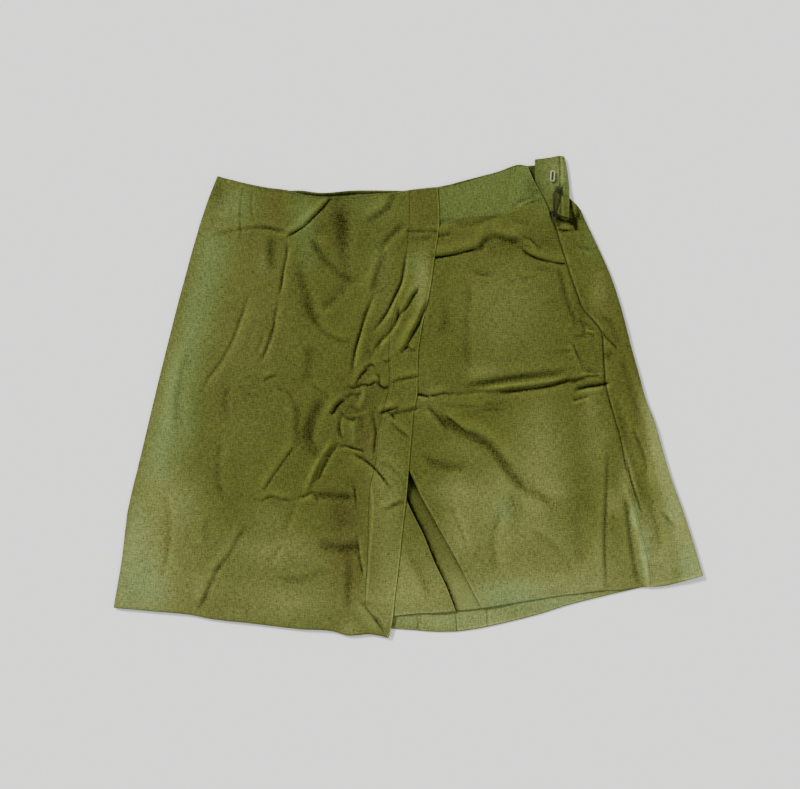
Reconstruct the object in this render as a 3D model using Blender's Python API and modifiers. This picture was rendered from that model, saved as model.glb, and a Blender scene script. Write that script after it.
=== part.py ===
"""A wrap-front skort in olive slub cotton, laid out flat with its front up.

The tables hold millimetres. "across" runs from the middle of the garment to its right-hand end as it lies,
"up" runs from the middle towards the waist, and the cloth rests on z = 0. "Right" and "left" in the names
of the pieces are the wearer's, so the right-hand pieces lie on the -X side.
"""

from collections import namedtuple
from math import cos, pi, radians, sin

import bmesh
import bpy
import numpy as np

MM = 0.001

# ---------------------------------------------------------------- driving sizes, millimetres
WALL = 1.0                  # one thickness of cloth
LAYER_GAP = 0.6             # air between two layers that lie on each other
SEAM_GAP = 0.6              # clearance between two pieces that meet edge to edge
BAND_WALL = 1.8             # the wrap's edge band is two thicknesses pressed together
TAB_WALL = 1.4              # the faced waist tab
FACING_DEPTH = 35.0         # height of the waist facing
SIDE_TUCK = 8.0             # how far hidden layers stay inside the wrap's side edge
SIDE_ROLL = 7.0             # width over which the wrap rolls down to the side
EDGE_REST = 26.0            # folds die out within this distance of the garment's outline
LEVEL_RUN = 28.0            # length over which cloth climbs on to the layer below it

BACK_MID = WALL / 2
LAYER = WALL + LAYER_GAP
FIRST_MID = BACK_MID + LAYER
TAB_MID = FIRST_MID + (WALL + TAB_WALL) / 2 + LAYER_GAP
OVER_TAB_MID = TAB_MID + (WALL + TAB_WALL) / 2 + LAYER_GAP

Spot = namedtuple("Spot", "across up")
Fold = namedtuple("Fold", "height left_soft right_soft path")       # softness on each side of its path
Swell = namedtuple("Swell", "height across up wide tall")
Station = namedtuple("Station", "up across")                        # where an edge lies at one height


def spots(*pairs):
    """A short run of points as named columns."""
    return [Spot(*pair) for pair in pairs]


# ---------------------------------------------------------------- outlines of the pieces
WRAP_WAIST = spots((-190.5, 221), (-162, 212), (-138, 207), (-121, 205), (-103, 200), (-76, 198),
                   (-56, 199.5), (-42, 201), (-14, 203), (2, 206.2))
WRAP_SIDE = spots((-190.5, 221), (-199.6, 198), (-208, 173), (-229.2, 97), (-250, 14), (-265.7, -52),
                  (-280.6, -115), (-286.4, -163), (-294.6, -211))
WRAP_HEM = spots((-294.6, -211), (-257, -214.4), (-216, -218.3), (-201, -221.4), (-157.5, -226.5),
                 (-108, -232.3), (-73, -235), (-62, -238.4), (-36, -237.6), (-25, -239.6), (-19.4, -241.2))
BAND_SEAM = spots((2, 206.2), (1.4, 174.5), (-1, 147), (-8, 107), (-17, 67), (-19, 37), (-18, 13),
                  (-24, -11.5), (-29, -33), (-31.4, -63), (-37, -88), (-39, -118), (-39.5, -148),
                  (-41, -178), (-42.5, -207))
BAND_MITRE = spots((-42.5, -207), (-33, -222), (-19.4, -241.2))
BAND_FREE = spots((30, 208.5), (31.3, 174.5), (26.8, 140.6), (22, 107), (13.5, 67), (10.5, 47), (9.5, 17),
                  (9, 1), (6, -12), (4, -33), (1.5, -63), (-1.6, -102), (-5, -129.5), (-8.5, -163),
                  (-13, -199), (-16.3, -228), (-19, -240.8))
BAND_WAIST = spots((2, 206.2), (16, 207.2), (30, 208.5))

BACK_WAIST_RIGHT = spots((-188.5, 219), (-162, 210.5), (-138, 206), (-127, 206), (-110, 207), (-87, 204.6),
                         (-56.5, 206.8), (-10.6, 206.8))
BACK_WAIST_LEFT = spots((-10.1, 206.8), (20, 206.4), (34, 207.6), (59, 214.5), (90, 224), (114, 231),
                        (126, 232), (140, 233), (153, 235))
CENTRE_SEAM = spots((-10.6, 206.8), (-10.6, 76), (-10.6, -53))
INNER_LEG_RIGHT = spots((-10.6, -53), (-8, -75), (-1.6, -102), (5.7, -118), (15, -136.4), (25.7, -163),
                        (38.5, -190), (48, -214.5))
INNER_HEM_STEP = spots((48, -214.5), (48.8, -225), (49.5, -235))
BACK_HEM_RIGHT = spots((-292.5, -207), (-216, -214), (-158, -222.5), (-108, -228.5), (-62, -232),
                       (-16, -232.2), (0, -233.2), (30, -235.3), (49.5, -235))
BACK_HEM_LEFT = spots((50.1, -232.8), (70.6, -230), (101, -223.7), (132, -216), (160, -207.5), (188, -200.5),
                      (240, -189), (293, -178.5))
TURN_START = spots((153, 235), (156.2, 220), (158.2, 206), (159.8, 200))
OUTLINE_LEFT = spots((161.4, 199.5), (169, 192.5), (179, 173), (191, 148), (202.5, 122), (211, 97), (218, 72),
                     (224, 48), (231, 23.5), (237.6, -1), (247, -25), (256, -57), (264, -83), (273.6, -109),
                     (285, -144), (295.3, -178.5))
RETURN_HEM = spots((293.5, -179), (275, -184.6), (255, -189.4), (244.4, -190.4))
RETURN_TOP = spots((160.5, 198.2), (156, 192), (150, 186.5), (142.6, 180.5))

FRONT_WAIST_LEFT = spots((-10.2, 201.5), (10, 205.4), (30.4, 208), (59, 216), (90, 225.4), (114, 232),
                         (119.5, 230.5))
FRONT_WAIST_RIGHT = spots((-182.4, 213), (-162, 208), (-138, 203.4), (-121, 201.4), (-103, 196.8), (-76, 195),
                          (-42, 197.6), (-10.6, 199.5))
FRONT_HEM_RIGHT = spots((-286, -200), (-216, -207), (-157, -214), (-108, -219), (-60, -221), (-12, -218.5),
                        (9, -216.6), (23, -216), (48, -214.5))
INNER_LEG_LEFT = spots((-10.2, -53), (0.7, -73), (12, -97), (27, -124), (49, -163), (62, -188.5),
                       (74, -211.3))
FRONT_HEM_LEFT = spots((74, -211.3), (111, -205.4), (146, -199.8), (174, -196.3), (198, -193.6),
                       (210, -193.8), (224, -191.4), (243.3, -190))
ZIP_EDGE = spots((119.5, 230.5), (126.2, 214.7), (133.1, 201.7), (139.2, 188.5), (142, 180.5))
SIDE_SEAM = spots((142, 180.5), (148.4, 165.7), (155, 145), (163, 119.5), (169, 103), (174, 89), (184.7, 77),
                  (192.8, 65.8), (195, 47), (196, 27), (197, 13.7), (204.5, -15), (212.4, -43), (218, -73),
                  (224, -98), (236.6, -149), (242, -177), (243.3, -190))

GORE_TOP = spots((-15, -60), (2.5, -60))
GORE_RIGHT = spots((-15, -60), (-11.5, -85), (-10, -104), (-3, -120), (6, -138), (17, -165), (29.5, -192),
                   (39, -215))
GORE_LEFT = spots((2.5, -60), (10, -75), (21, -98), (36, -125), (58, -164), (71, -189), (82, -209.2))
GORE_HEM = spots((39, -215.2), (48, -214.4), (60, -213.2), (72, -212), (82, -209.2))

TAB_TOP = spots((126.7, 237.4), (143.8, 239.7), (151, 241), (156.4, 240.4))
TAB_OUTER = spots((156.4, 240.4), (159.1, 225.6), (160.6, 213), (161.3, 201), (161, 179))
TAB_BOTTOM = spots((127.5, 190), (140, 185.4), (151, 182), (161, 179))
TAB_INNER = spots((126.7, 237.4), (126.9, 214), (127.5, 190))

# ---------------------------------------------------------------- relief of the upper layer
SWELLS = [
    Swell(3.6, -118, 60, 80, 95), Swell(2.6, -190, -60, 60, 110), Swell(2.8, -95, -140, 75, 60),
    Swell(4.6, -12, 25, 46, 85), Swell(4.4, 92, 82, 72, 58), Swell(3.8, 118, -62, 85, 62),
    Swell(2.2, 165, -140, 55, 45), Swell(3.0, 212, 20, 26, 70), Swell(2.4, 240, -110, 30, 60),
]
FOLDS = [
    # left front: the sag below the waist, the drag from the zip, the fold at the hip, the thigh
    Fold(-3.0, 7, 8, spots((32, 140), (54, 145), (72, 149), (82, 157), (92, 159), (118, 153))),
    Fold(-2.6, 6, 7, spots((112, 148), (127, 139), (141, 135), (154, 133))),
    Fold(4.6, 8, 7, spots((58, 8), (92, 11), (122, 15), (152, 19), (184, 21))),
    Fold(-3.4, 6, 8, spots((14, 1), (35, 2), (72, 2), (112, 3), (152, 9), (176, 15))),
    Fold(-3.4, 6, 6, spots((164, 5), (182, 8), (197, 12))),
    Fold(-3.4, 10, 9, spots((23, -15), (42, -27), (69, -41), (91, -59), (106, -81), (132, -101))),
    Fold(-2.0, 7, 8, spots((200, -53), (199, -114), (198, -153), (199, -190))),
    Fold(1.3, 8, 8, spots((172, 54), (184, 38), (189, 27))),
    # left back where it comes round the side
    Fold(2.6, 7, 8, spots((206, -20), (216, -66), (226, -104), (238, -152), (243, -184))),
    Fold(-2.4, 7, 9, spots((212, -8), (224, -48), (233, -83), (246, -118))),
    Fold(-1.8, 6, 6, spots((250, -112), (261, -123), (274, -138))),
    # wrap panel: the pleat from the waist, the drags beside the band, the knee-height crumple
    Fold(-2.4, 6, 7, spots((-79, 197), (-87, 187), (-104, 170), (-124, 156))),
    Fold(-2.6, 7, 6, spots((-121, 158), (-124, 127), (-130, 97), (-136, 62), (-147, 31))),
    Fold(-2.2, 7, 7, spots((-98, 157), (-79, 133), (-65, 119), (-51, 114))),
    Fold(-1.8, 10, 10, spots((-108, 127), (-98, 97), (-83, 64))),
    Fold(-3.0, 7, 6, spots((-37, 94), (-46, 67), (-55, 37), (-57, 20))),
    Fold(-3.0, 7, 6, spots((-3, 140), (-6, 113), (-18, 92), (-40, 60))),
    Fold(-3.2, 7, 7, spots((14, 108), (-6, 87), (-13, 67), (-31, 45))),
    Fold(-3.0, 6, 7, spots((21, 94), (8, 66), (-1, 47), (-13, 37))),
    Fold(-3.4, 7, 7, spots((-35, 33), (-51, 14), (-63, -3), (-78, -17))),
    Fold(-2.6, 6, 6, spots((-30, -15), (-8, -14), (8, -11))),
    Fold(-2.2, 6, 6, spots((-24, 13), (-8, 17), (8, 20))),
    Fold(3.6, 6, 6, spots((-74, -42), (-91, -65), (-103, -97))),
    Fold(2.2, 6, 6, spots((-111, -48), (-136, -81), (-146, -99))),
    Fold(-3.0, 6, 7, spots((-68, -49), (-48, -58), (-33, -72), (-16, -93))),
    Fold(-3.0, 10, 10, spots((-86, -1), (-100, -28), (-105, -50))),
    Fold(-2.0, 6, 7, spots((-151, -99), (-123, -103), (-96, -98), (-66, -101))),
    Fold(-2.0, 8, 8, spots((-162, -132), (-177, -158), (-196, -186), (-209, -212))),
    Fold(-2.2, 9, 8, spots((-158, 103), (-176, 52), (-200, 14))),
    Fold(-2.4, 6, 6, spots((-50, -144), (-45, -181))),
]
FOLD_TAPER = 0.16           # share of a fold's length over which it rises from nothing

# ---------------------------------------------------------------- hardware, millimetres
BAR_SIZE = (5.1, 11.4)      # outside of the hook bar
BAR_WIRE = 0.8              # radius of its wire
BAR_PLACE = Spot(144.4, 220.6)
BAR_LEAN = -3.7             # degrees
SLIDER_PLACE = Spot(145.3, 182.6)
SLIDER_SIZE = (5.4, 6.6, 2.2)
BRIDGE_HALF = 1.9           # half length of the arch that holds the pull
BRIDGE_RISE = 2.15
BRIDGE_WIRE = 0.45
PULL_ABOVE = 0.9            # height of the pull's axis above the slider
PULL_DROOP = 5.0            # degrees by which the pull hangs below level at rest
PULL_ARMS = 2.9             # length of the arms that straddle the arch
PULL_TAB = 5.2              # length of the tab beyond the arms
PULL_WIDE = 3.8
PULL_THICK = 0.8
STOP_SIZE = (3.4, 4.0, 1.2)
STOP_PLACE = Spot(150.2, 206.0)
TOUCH = 0.3                 # clearance of a piece that is sewn or crimped on


# ---------------------------------------------------------------- curves and patches
def along(runs, at):
    """Points at fractions `at` of the length of an edge made of smooth runs that meet in corners.

    Each run is a cubic through its spots; the fractions count straight-line lengths between the spots.
    """
    lengths = [run_steps(run).sum() for run in runs]
    ends = np.concatenate([[0.0], np.cumsum(lengths)]) / sum(lengths)
    found = np.zeros((len(at), 2))
    for number, run in enumerate(runs):
        inside = (at >= ends[number] - 1e-9) & (at <= ends[number + 1] + 1e-9)
        share = (at[inside] - ends[number]) / (ends[number + 1] - ends[number])
        found[inside] = smooth_run(run, np.clip(share, 0, 1))
    return found


def run_steps(run):
    """Straight-line lengths between the neighbouring spots of a run."""
    return np.hypot(*np.diff(np.array(run, float), axis=0).T)


def smooth_run(run, share):
    """Cubic Hermite curve through the spots, at shares of its length."""
    points = np.array(run, float)
    knots = np.concatenate([[0.0], np.cumsum(run_steps(run))])
    knots /= knots[-1]
    slopes = np.gradient(points, knots, axis=0)
    piece = np.clip(np.searchsorted(knots, share, side="right") - 1, 0, len(knots) - 2)
    width = (knots[piece + 1] - knots[piece])[:, None]
    part = (share - knots[piece])[:, None] / width
    return ((2 * part**3 - 3 * part**2 + 1) * points[piece] + (part**3 - 2 * part**2 + part) * width * slopes[piece]
            + (3 * part**2 - 2 * part**3) * points[piece + 1] + (part**3 - part**2) * width * slopes[piece + 1])


def corner_shares(runs):
    """Fractions of an edge's length at which its runs meet."""
    lengths = [run_steps(run).sum() for run in runs]
    return np.cumsum(lengths)[:-1] / sum(lengths)


def patch(top, bottom, right_side, left_side, shares_across):
    """Coons patch: a lattice of points that fills the space between four edges given as arrays of points."""
    across = shares_across[None, :, None]
    steps = np.linalg.norm(np.diff(right_side, axis=0), axis=1) + np.linalg.norm(np.diff(left_side, axis=0), axis=1)
    down = (np.concatenate([[0.0], np.cumsum(steps)]) / steps.sum())[:, None, None]
    corners = ((1 - across) * (1 - down) * top[0] + across * (1 - down) * top[-1]
               + (1 - across) * down * bottom[0] + across * down * bottom[-1])
    return ((1 - down) * top[None] + down * bottom[None]
            + (1 - across) * right_side[:, None] + across * left_side[:, None] - corners)


def moved(points, across=0.0, up=0.0):
    """The same points shifted in the plane."""
    return points + np.array([across, up])


# ---------------------------------------------------------------- heights
def smooth(value):
    """0 to 1 with level ends."""
    value = np.clip(value, 0, 1)
    return value * value * (3 - 2 * value)


def distance_along(path, across, up):
    """Distance to a bent line, positive on the left of its direction, and the share of its length, 0 to 1."""
    points = np.array(path, float)
    start, step = points[:-1], np.diff(points, axis=0)
    length = np.hypot(step[:, 0], step[:, 1])
    done = np.concatenate([[0.0], np.cumsum(length)])
    gap_across = across[..., None] - start[:, 0]
    gap_up = up[..., None] - start[:, 1]
    part = np.clip((gap_across * step[:, 0] + gap_up * step[:, 1]) / length**2, 0, 1)
    away = np.hypot(gap_across - part * step[:, 0], gap_up - part * step[:, 1])
    side = np.where(step[:, 0] * gap_up - step[:, 1] * gap_across >= 0, 1.0, -1.0)
    nearest = away.argmin(axis=-1)[..., None]
    signed = np.take_along_axis(away * side, nearest, -1)[..., 0]
    reached = np.take_along_axis(done[:-1] + part * length, nearest, -1)[..., 0]
    return signed, reached / done[-1]


def edge_at(run, up):
    """How far across an edge lies at given heights."""
    stations = sorted(Station(spot.up, spot.across) for spot in run)
    return np.interp(up, [station.up for station in stations], [station.across for station in stations])


def waist_at(across):
    """Height of the waist edge above the middle of the garment."""
    run = WRAP_WAIST + FRONT_WAIST_LEFT[2:]
    return np.interp(across, [spot.across for spot in run], [spot.up for spot in run])


def relief(across, up):
    """Height that swells and folds give the upper layer, dying out at the garment's outline."""
    height = np.zeros_like(across)
    for swell in SWELLS:
        height += swell.height * np.exp(-((across - swell.across) / swell.wide)**2 - ((up - swell.up) / swell.tall)**2)
    for fold in FOLDS:
        signed, share = distance_along(fold.path, across, up)
        soft = np.where(signed > 0, fold.left_soft, fold.right_soft)
        ends = smooth(share / FOLD_TAPER) * smooth((1 - share) / FOLD_TAPER)
        height += fold.height * ends * np.exp(-(signed / soft)**2)
    outline = [WRAP_SIDE, WRAP_HEM, BACK_HEM_LEFT, OUTLINE_LEFT, WRAP_WAIST, BAND_WAIST, FRONT_WAIST_LEFT]
    nearest = np.min([np.abs(distance_along(run, across, up)[0]) for run in outline], axis=0)
    return np.maximum(height, 0) * smooth(nearest / EDGE_REST)


def tab_distance(across, up):
    """Distance outside the rectangle of the waist tab."""
    beyond = np.maximum(np.maximum(TAB_INNER[0].across - across, across - TAB_OUTER[-1].across), 0)
    below = np.maximum(TAB_OUTER[-1].up - up, 0)
    return np.hypot(beyond, below)


def front_level(across, up):
    """Middle of the shorts' front where it lies flat on the facing, the inner leg and the waist tab."""
    at_waist = 1 - smooth((waist_at(across) - up - FACING_DEPTH - 3) / LEVEL_RUN)
    outside = np.maximum(edge_at(INNER_LEG_RIGHT, up) - 12 - across, across - edge_at(INNER_LEG_LEFT, up) - 12)
    above = np.maximum(up - GORE_TOP[0].up - 4, 0)
    at_legs = 1 - smooth(np.hypot(np.maximum(outside, 0), above) / LEVEL_RUN)
    level = FIRST_MID + LAYER * np.maximum(at_waist, at_legs)
    return level + (OVER_TAB_MID - FIRST_MID - LAYER) * (1 - smooth(tab_distance(across, up) / LEVEL_RUN))


def front_height(across, up):
    """Middle of the shorts' front: flat under the wrap, in folds where it shows."""
    shows = smooth((across - edge_at(BAND_FREE, up)) / 10)
    return front_level(across, up) + shows * relief(across, up)


def wrap_height(across, up):
    """Middle of the wrap: one layer higher than the front, rolled down to the side."""
    high = front_level(across, up) + LAYER + relief(across, up)
    inside = np.clip((across - edge_at(WRAP_SIDE, up)) / SIDE_ROLL, 0, 1)
    return FIRST_MID + (high - FIRST_MID) * np.sqrt(1 - (1 - inside)**2)


def return_height(across, up):
    """Middle of the left back where it lies on top: flat under the tab, full beside the outline."""
    clear_of_tab = smooth((tab_distance(across, up) - 1) / 14)
    to_outline = np.abs(distance_along(OUTLINE_LEFT, across, up)[0])
    fullness = 2.6 * (1 - smooth(to_outline / 40))
    return FIRST_MID + clear_of_tab * (fullness + relief(across, up))


# ---------------------------------------------------------------- making the meshes
def finish(name, colour, roughness, metallic=0.0):
    """A plain material with the piece's colour."""
    material = bpy.data.materials.new(name)
    material.use_nodes = True
    shader = material.node_tree.nodes["Principled BSDF"]
    shader.inputs["Base Color"].default_value = (*colour, 1.0)
    shader.inputs["Roughness"].default_value = roughness
    shader.inputs["Metallic"].default_value = metallic
    material.diffuse_color = (*colour, 1.0)
    return material


def add_object(name, mesh, material, collection):
    """Put a mesh in the scene under its name."""
    piece = bpy.data.objects.new(name, mesh)
    mesh.materials.append(material)
    collection.objects.link(piece)
    return piece


def cloth(name, lattice, material, collection, wall=WALL, kept=None):
    """A sheet of cloth: a grid primitive whose corners are moved to the lattice, with a wall.

    `kept` says which cells of the lattice the sheet has.
    """
    rows, columns = lattice.shape[0] - 1, lattice.shape[1] - 1
    sheet = bmesh.new()
    bmesh.ops.create_grid(sheet, x_segments=columns, y_segments=rows, size=1.0)
    if kept is not None:
        spare = [face for face in sheet.faces if not kept[cell_of(face.calc_center_median(), rows, columns)]]
        bmesh.ops.delete(sheet, geom=spare, context="FACES")
    for corner in sheet.verts:
        column = round((corner.co.x + 1) / 2 * columns)
        row = round((1 - corner.co.y) / 2 * rows)
        corner.co = lattice[row, column] * MM
    mesh = bpy.data.meshes.new(name)
    sheet.to_mesh(mesh)
    sheet.free()
    piece = add_object(name, mesh, material, collection)
    shell = piece.modifiers.new("wall", "SOLIDIFY")
    shell.thickness = wall * MM
    shell.offset = 0.0
    mesh.shade_smooth()
    return piece


def cell_of(centre, rows, columns):
    """Row and column of the cell of a fresh grid that a point lies in."""
    return int((1 - centre.y) / 2 * rows), int((centre.x + 1) / 2 * columns)


def raised(plan, height):
    """Add heights to a lattice of points in the plane."""
    return np.dstack([plan, height])


def even(count):
    """Shares of a side cut into equal steps."""
    return np.linspace(0, 1, count + 1)


# ---------------------------------------------------------------- cloth pieces
def make_back_right(cotton, collection):
    """Right back: the flat lower layer from the side to the centre seam and the inside leg."""
    down, over = back_rows(), even(6)
    inner = along([CENTRE_SEAM, INNER_LEG_RIGHT, INNER_HEM_STEP], down)
    side = moved(along([WRAP_SIDE], down), across=1.0)
    side[0], side[-1] = BACK_WAIST_RIGHT[0], BACK_HEM_RIGHT[0]
    plan = patch(along([BACK_WAIST_RIGHT], over), along([BACK_HEM_RIGHT], over), side, inner, over)
    return cloth("back_right", raised(plan, np.full(plan.shape[:2], BACK_MID)), cotton, collection)


TURN_ROWS = 30              # rows of the left back that come round the side
UPPER_ROWS = 4              # rows above them, beside the open zip
UPPER_SHARE = 0.085


def back_rows():
    """Shares of the height at which both backs have their rows, so that their common seam matches."""
    return np.concatenate([even(UPPER_ROWS)[:-1] * UPPER_SHARE, UPPER_SHARE + even(TURN_ROWS) * (1 - UPPER_SHARE)])


def make_back_left(cotton, collection):
    """Left back: flat below, turned up round the side, and lying on top as far as the side seam."""
    flat_columns, turn_steps, return_columns = 8, 5, 9
    down = even(TURN_ROWS)
    outline = along([OUTLINE_LEFT], down)
    tangent = np.gradient(outline, axis=0)
    outward = np.column_stack([-tangent[:, 1], tangent[:, 0]]) / np.linalg.norm(tangent, axis=1)[:, None]
    top = return_height(outline[:, 0], outline[:, 1])
    radius = (top - BACK_MID) / 2
    turn_centre = outline - outward * (radius + WALL / 2)[:, None]

    flat_edge = np.concatenate([along([TURN_START], even(UPPER_ROWS)[:-1]), turn_centre])
    inner = moved(along([CENTRE_SEAM, INNER_LEG_RIGHT, INNER_HEM_STEP], back_rows()), across=SEAM_GAP)
    inner[-1] = BACK_HEM_LEFT[0]
    across = even(flat_columns)
    hem = along([BACK_HEM_LEFT], across)
    hem[-1] = flat_edge[-1]
    waist = along([BACK_WAIST_LEFT], across)
    flat = patch(waist, hem, inner, flat_edge, across)
    flat = raised(flat, np.full(flat.shape[:2], BACK_MID))

    angles = np.linspace(-pi / 2, pi / 2, turn_steps + 1)[1:]
    turn = np.dstack([turn_centre[:, None, 0] + outward[:, None, 0] * radius[:, None] * np.cos(angles),
                      turn_centre[:, None, 1] + outward[:, None, 1] * radius[:, None] * np.cos(angles),
                      BACK_MID + radius[:, None] * (1 + np.sin(angles))])

    seam = moved(along([SIDE_SEAM], down), across=SEAM_GAP)
    share = even(return_columns)
    top_edge = along([RETURN_TOP], share)
    top_edge[0], top_edge[-1] = turn_centre[0], seam[0]
    hem_edge = along([RETURN_HEM], share)
    hem_edge[0], hem_edge[-1] = turn_centre[-1], seam[-1]
    lying = patch(top_edge, hem_edge, turn_centre, seam, share)[:, 1:]
    lying = raised(lying, return_height(lying[..., 0], lying[..., 1]))

    folded = np.concatenate([turn, lying], axis=1)
    unused = np.zeros((UPPER_ROWS, folded.shape[1], 3))
    lattice = np.concatenate([flat, np.concatenate([unused, folded])], axis=1)
    kept = np.ones((UPPER_ROWS + TURN_ROWS, lattice.shape[1] - 1), bool)
    kept[:UPPER_ROWS, flat_columns:] = False
    return cloth("back_left", lattice, cotton, collection, kept=kept)


def make_inner_leg(cotton, collection):
    """The stretch of the left back that comes round the inside leg and shows between the two fronts."""
    down, over = even(12), even(3)
    plan = patch(along([GORE_TOP], over), along([GORE_HEM], over), along([GORE_RIGHT], down),
                 along([GORE_LEFT], down), over)
    return cloth("back_left_inner_leg", raised(plan, np.full(plan.shape[:2], FIRST_MID)), cotton, collection)


def make_facing(cotton, collection):
    """Facing along the inside of the back waist."""
    over = even(30)
    edge = along([BACK_WAIST_RIGHT[:-1] + BACK_WAIST_LEFT[1:-1]], over)
    edge[0] = edge[0] + np.array([SIDE_TUCK - 1, -1.5])
    ends = np.array([[0.0, 0.0], [1.5, -FACING_DEPTH]])
    steps = even(2)
    plan = patch(moved(edge, up=-0.6), moved(edge, up=-FACING_DEPTH), moved(edge[0] + ends[1] * steps[:, None], up=-0.3),
                 moved(edge[-1] + ends[1] * steps[:, None], up=-0.3), over)
    return cloth("back_waist_facing", raised(plan, np.full(plan.shape[:2], FIRST_MID)), cotton, collection)


def make_front_right(cotton, collection):
    """Right front of the shorts, under the wrap but for its inner edge and hem."""
    down, over = even(24), 1 - (1 - even(13))**1.7
    side = moved(along([WRAP_SIDE], down), across=SIDE_TUCK)
    side[0], side[-1] = FRONT_WAIST_RIGHT[0], FRONT_HEM_RIGHT[0]
    inner = moved(along([CENTRE_SEAM, INNER_LEG_RIGHT], down), across=-SEAM_GAP / 2)
    inner[0], inner[-1] = FRONT_WAIST_RIGHT[-1], FRONT_HEM_RIGHT[-1]
    plan = patch(along([FRONT_WAIST_RIGHT], over), along([FRONT_HEM_RIGHT], over), side, inner, over)
    return cloth("front_right", raised(plan, front_height(plan[..., 0], plan[..., 1])), cotton, collection)


def make_front_left(cotton, collection):
    """Left front of the shorts: from the centre seam and inside leg to the open zip and the side seam."""
    over = even(22)
    zip_share = corner_shares([ZIP_EDGE, SIDE_SEAM])[0]
    zip_rows, seam_rows = 5, 30
    down = np.concatenate([even(zip_rows)[:-1] * zip_share, zip_share + even(seam_rows) * (1 - zip_share)])
    centre = moved(along([CENTRE_SEAM, INNER_LEG_LEFT], down), across=SEAM_GAP)
    centre[0], centre[-1] = FRONT_WAIST_LEFT[0], FRONT_HEM_LEFT[0]
    plan = patch(along([FRONT_WAIST_LEFT], over), along([FRONT_HEM_LEFT], over), centre,
                 along([ZIP_EDGE, SIDE_SEAM], down), over)
    return cloth("front_left", raised(plan, front_height(plan[..., 0], plan[..., 1])), cotton, collection)


BAND_ROWS = 40
MITRE_STEPS = 4


def make_wrap(cotton, collection):
    """Wrap panel, from the side to the seam of its edge band and round the mitre to the corner."""
    mitre_share = corner_shares([BAND_SEAM, BAND_MITRE])[0]
    down = np.concatenate([even(BAND_ROWS)[:-1] * mitre_share, mitre_share + even(MITRE_STEPS) * (1 - mitre_share)])
    width = WRAP_WAIST[-1].across - WRAP_SIDE[-1].across
    rolled = np.array([0.6, 2.0, 4.0]) / width
    over = np.concatenate([[0.0], rolled, SIDE_ROLL / width + even(26) * (1 - SIDE_ROLL / width)])
    plan = patch(along([WRAP_WAIST], over), along([WRAP_HEM], over), along([WRAP_SIDE], down),
                 along([BAND_SEAM, BAND_MITRE], down), over)
    return cloth("wrap_panel", raised(plan, wrap_height(plan[..., 0], plan[..., 1])), cotton, collection)


def make_band(cotton, collection):
    """Stitched band on the free edge of the wrap, two thicknesses of cloth, mitred at the corner."""
    down, over = even(BAND_ROWS), even(MITRE_STEPS)
    seam = moved(along([BAND_SEAM], down), across=SEAM_GAP)
    plan = patch(moved(along([BAND_WAIST], over), across=0.0), moved(along([BAND_MITRE], over), across=SEAM_GAP),
                 seam, along([BAND_FREE], down), over)
    height = wrap_height(plan[..., 0], plan[..., 1]) + (BAND_WALL - WALL) / 2
    return cloth("wrap_band", raised(plan, height), cotton, collection, wall=BAND_WALL)


def make_tab(cotton, collection):
    """Faced end of the back waistband, turned over beside the zip, its outer edge rolled down."""
    down, over = even(9), np.array([0, 0.2, 0.4, 0.6, 0.78, 0.9, 0.96, 0.985, 1.0])
    plan = patch(along([TAB_TOP], over), along([TAB_BOTTOM], over), along([TAB_INNER], down),
                 along([TAB_OUTER], down), over)
    across, up = plan[..., 0], plan[..., 1]
    to_edge = edge_at(TAB_OUTER, up) - across
    roll = 1 - np.sqrt(1 - np.clip(1 - to_edge / 5, 0, 1)**2)
    above_body = smooth((up - 200) / 14)
    height = TAB_MID - above_body * roll * (TAB_MID - FIRST_MID - 0.3)
    return cloth("waist_tab", raised(plan, height), cotton, collection, wall=TAB_WALL)


def make_zip_tape(tape, collection):
    """Free half of the open zip, lying on the waist tab from the slider to the stop."""
    bottom, top = Spot(146.4, 187.2), Spot(150.4, 210.5)
    down, over = even(5), even(2)
    low_half, high_half = 1.7, 2.9
    share = down[:, None]
    middle = np.array(top) * (1 - share) + np.array(bottom) * share
    half = (high_half * (1 - share) + low_half * share) * np.array([1.0, 0.0])
    plan = patch((middle - half)[0] + over[:, None] * 2 * half[0], (middle - half)[-1] + over[:, None] * 2 * half[-1],
                 middle - half, middle + half, over)
    height = np.full(plan.shape[:2], TAB_MID + TAB_WALL / 2 + TOUCH + WALL / 2)
    return cloth("zip_tape", raised(plan, height), tape, collection)


# ---------------------------------------------------------------- hardware
TAB_TOP_Z = TAB_MID + TAB_WALL / 2
TAPE_TOP_Z = TAB_TOP_Z + TOUCH + WALL
SLIDER_TOP_Z = TAB_TOP_Z + TOUCH + SLIDER_SIZE[2]


def wire_path(points, radius, cyclic, name):
    """A wire along straight steps between points, in millimetres."""
    curve = bpy.data.curves.new(name, "CURVE")
    curve.dimensions = "3D"
    curve.bevel_depth = radius * MM
    curve.bevel_resolution = 2
    curve.use_fill_caps = not cyclic
    spline = curve.splines.new("POLY")
    spline.points.add(len(points) - 1)
    for place, point in zip(spline.points, points):
        place.co = (point[0] * MM, point[1] * MM, point[2] * MM, 1.0)
    spline.use_cyclic_u = cyclic
    return curve


def rounded_loop(half_wide, half_tall, corner, steps=4):
    """Points round a rectangle with rounded corners."""
    points = []
    for quarter, (sign_x, sign_y) in enumerate([(1, 1), (-1, 1), (-1, -1), (1, -1)]):
        for step in range(steps + 1):
            angle = (quarter + step / steps) * pi / 2
            points.append((sign_x * (half_wide - corner) + corner * cos(angle),
                           sign_y * (half_tall - corner) + corner * sin(angle), 0.0))
    return points


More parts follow.
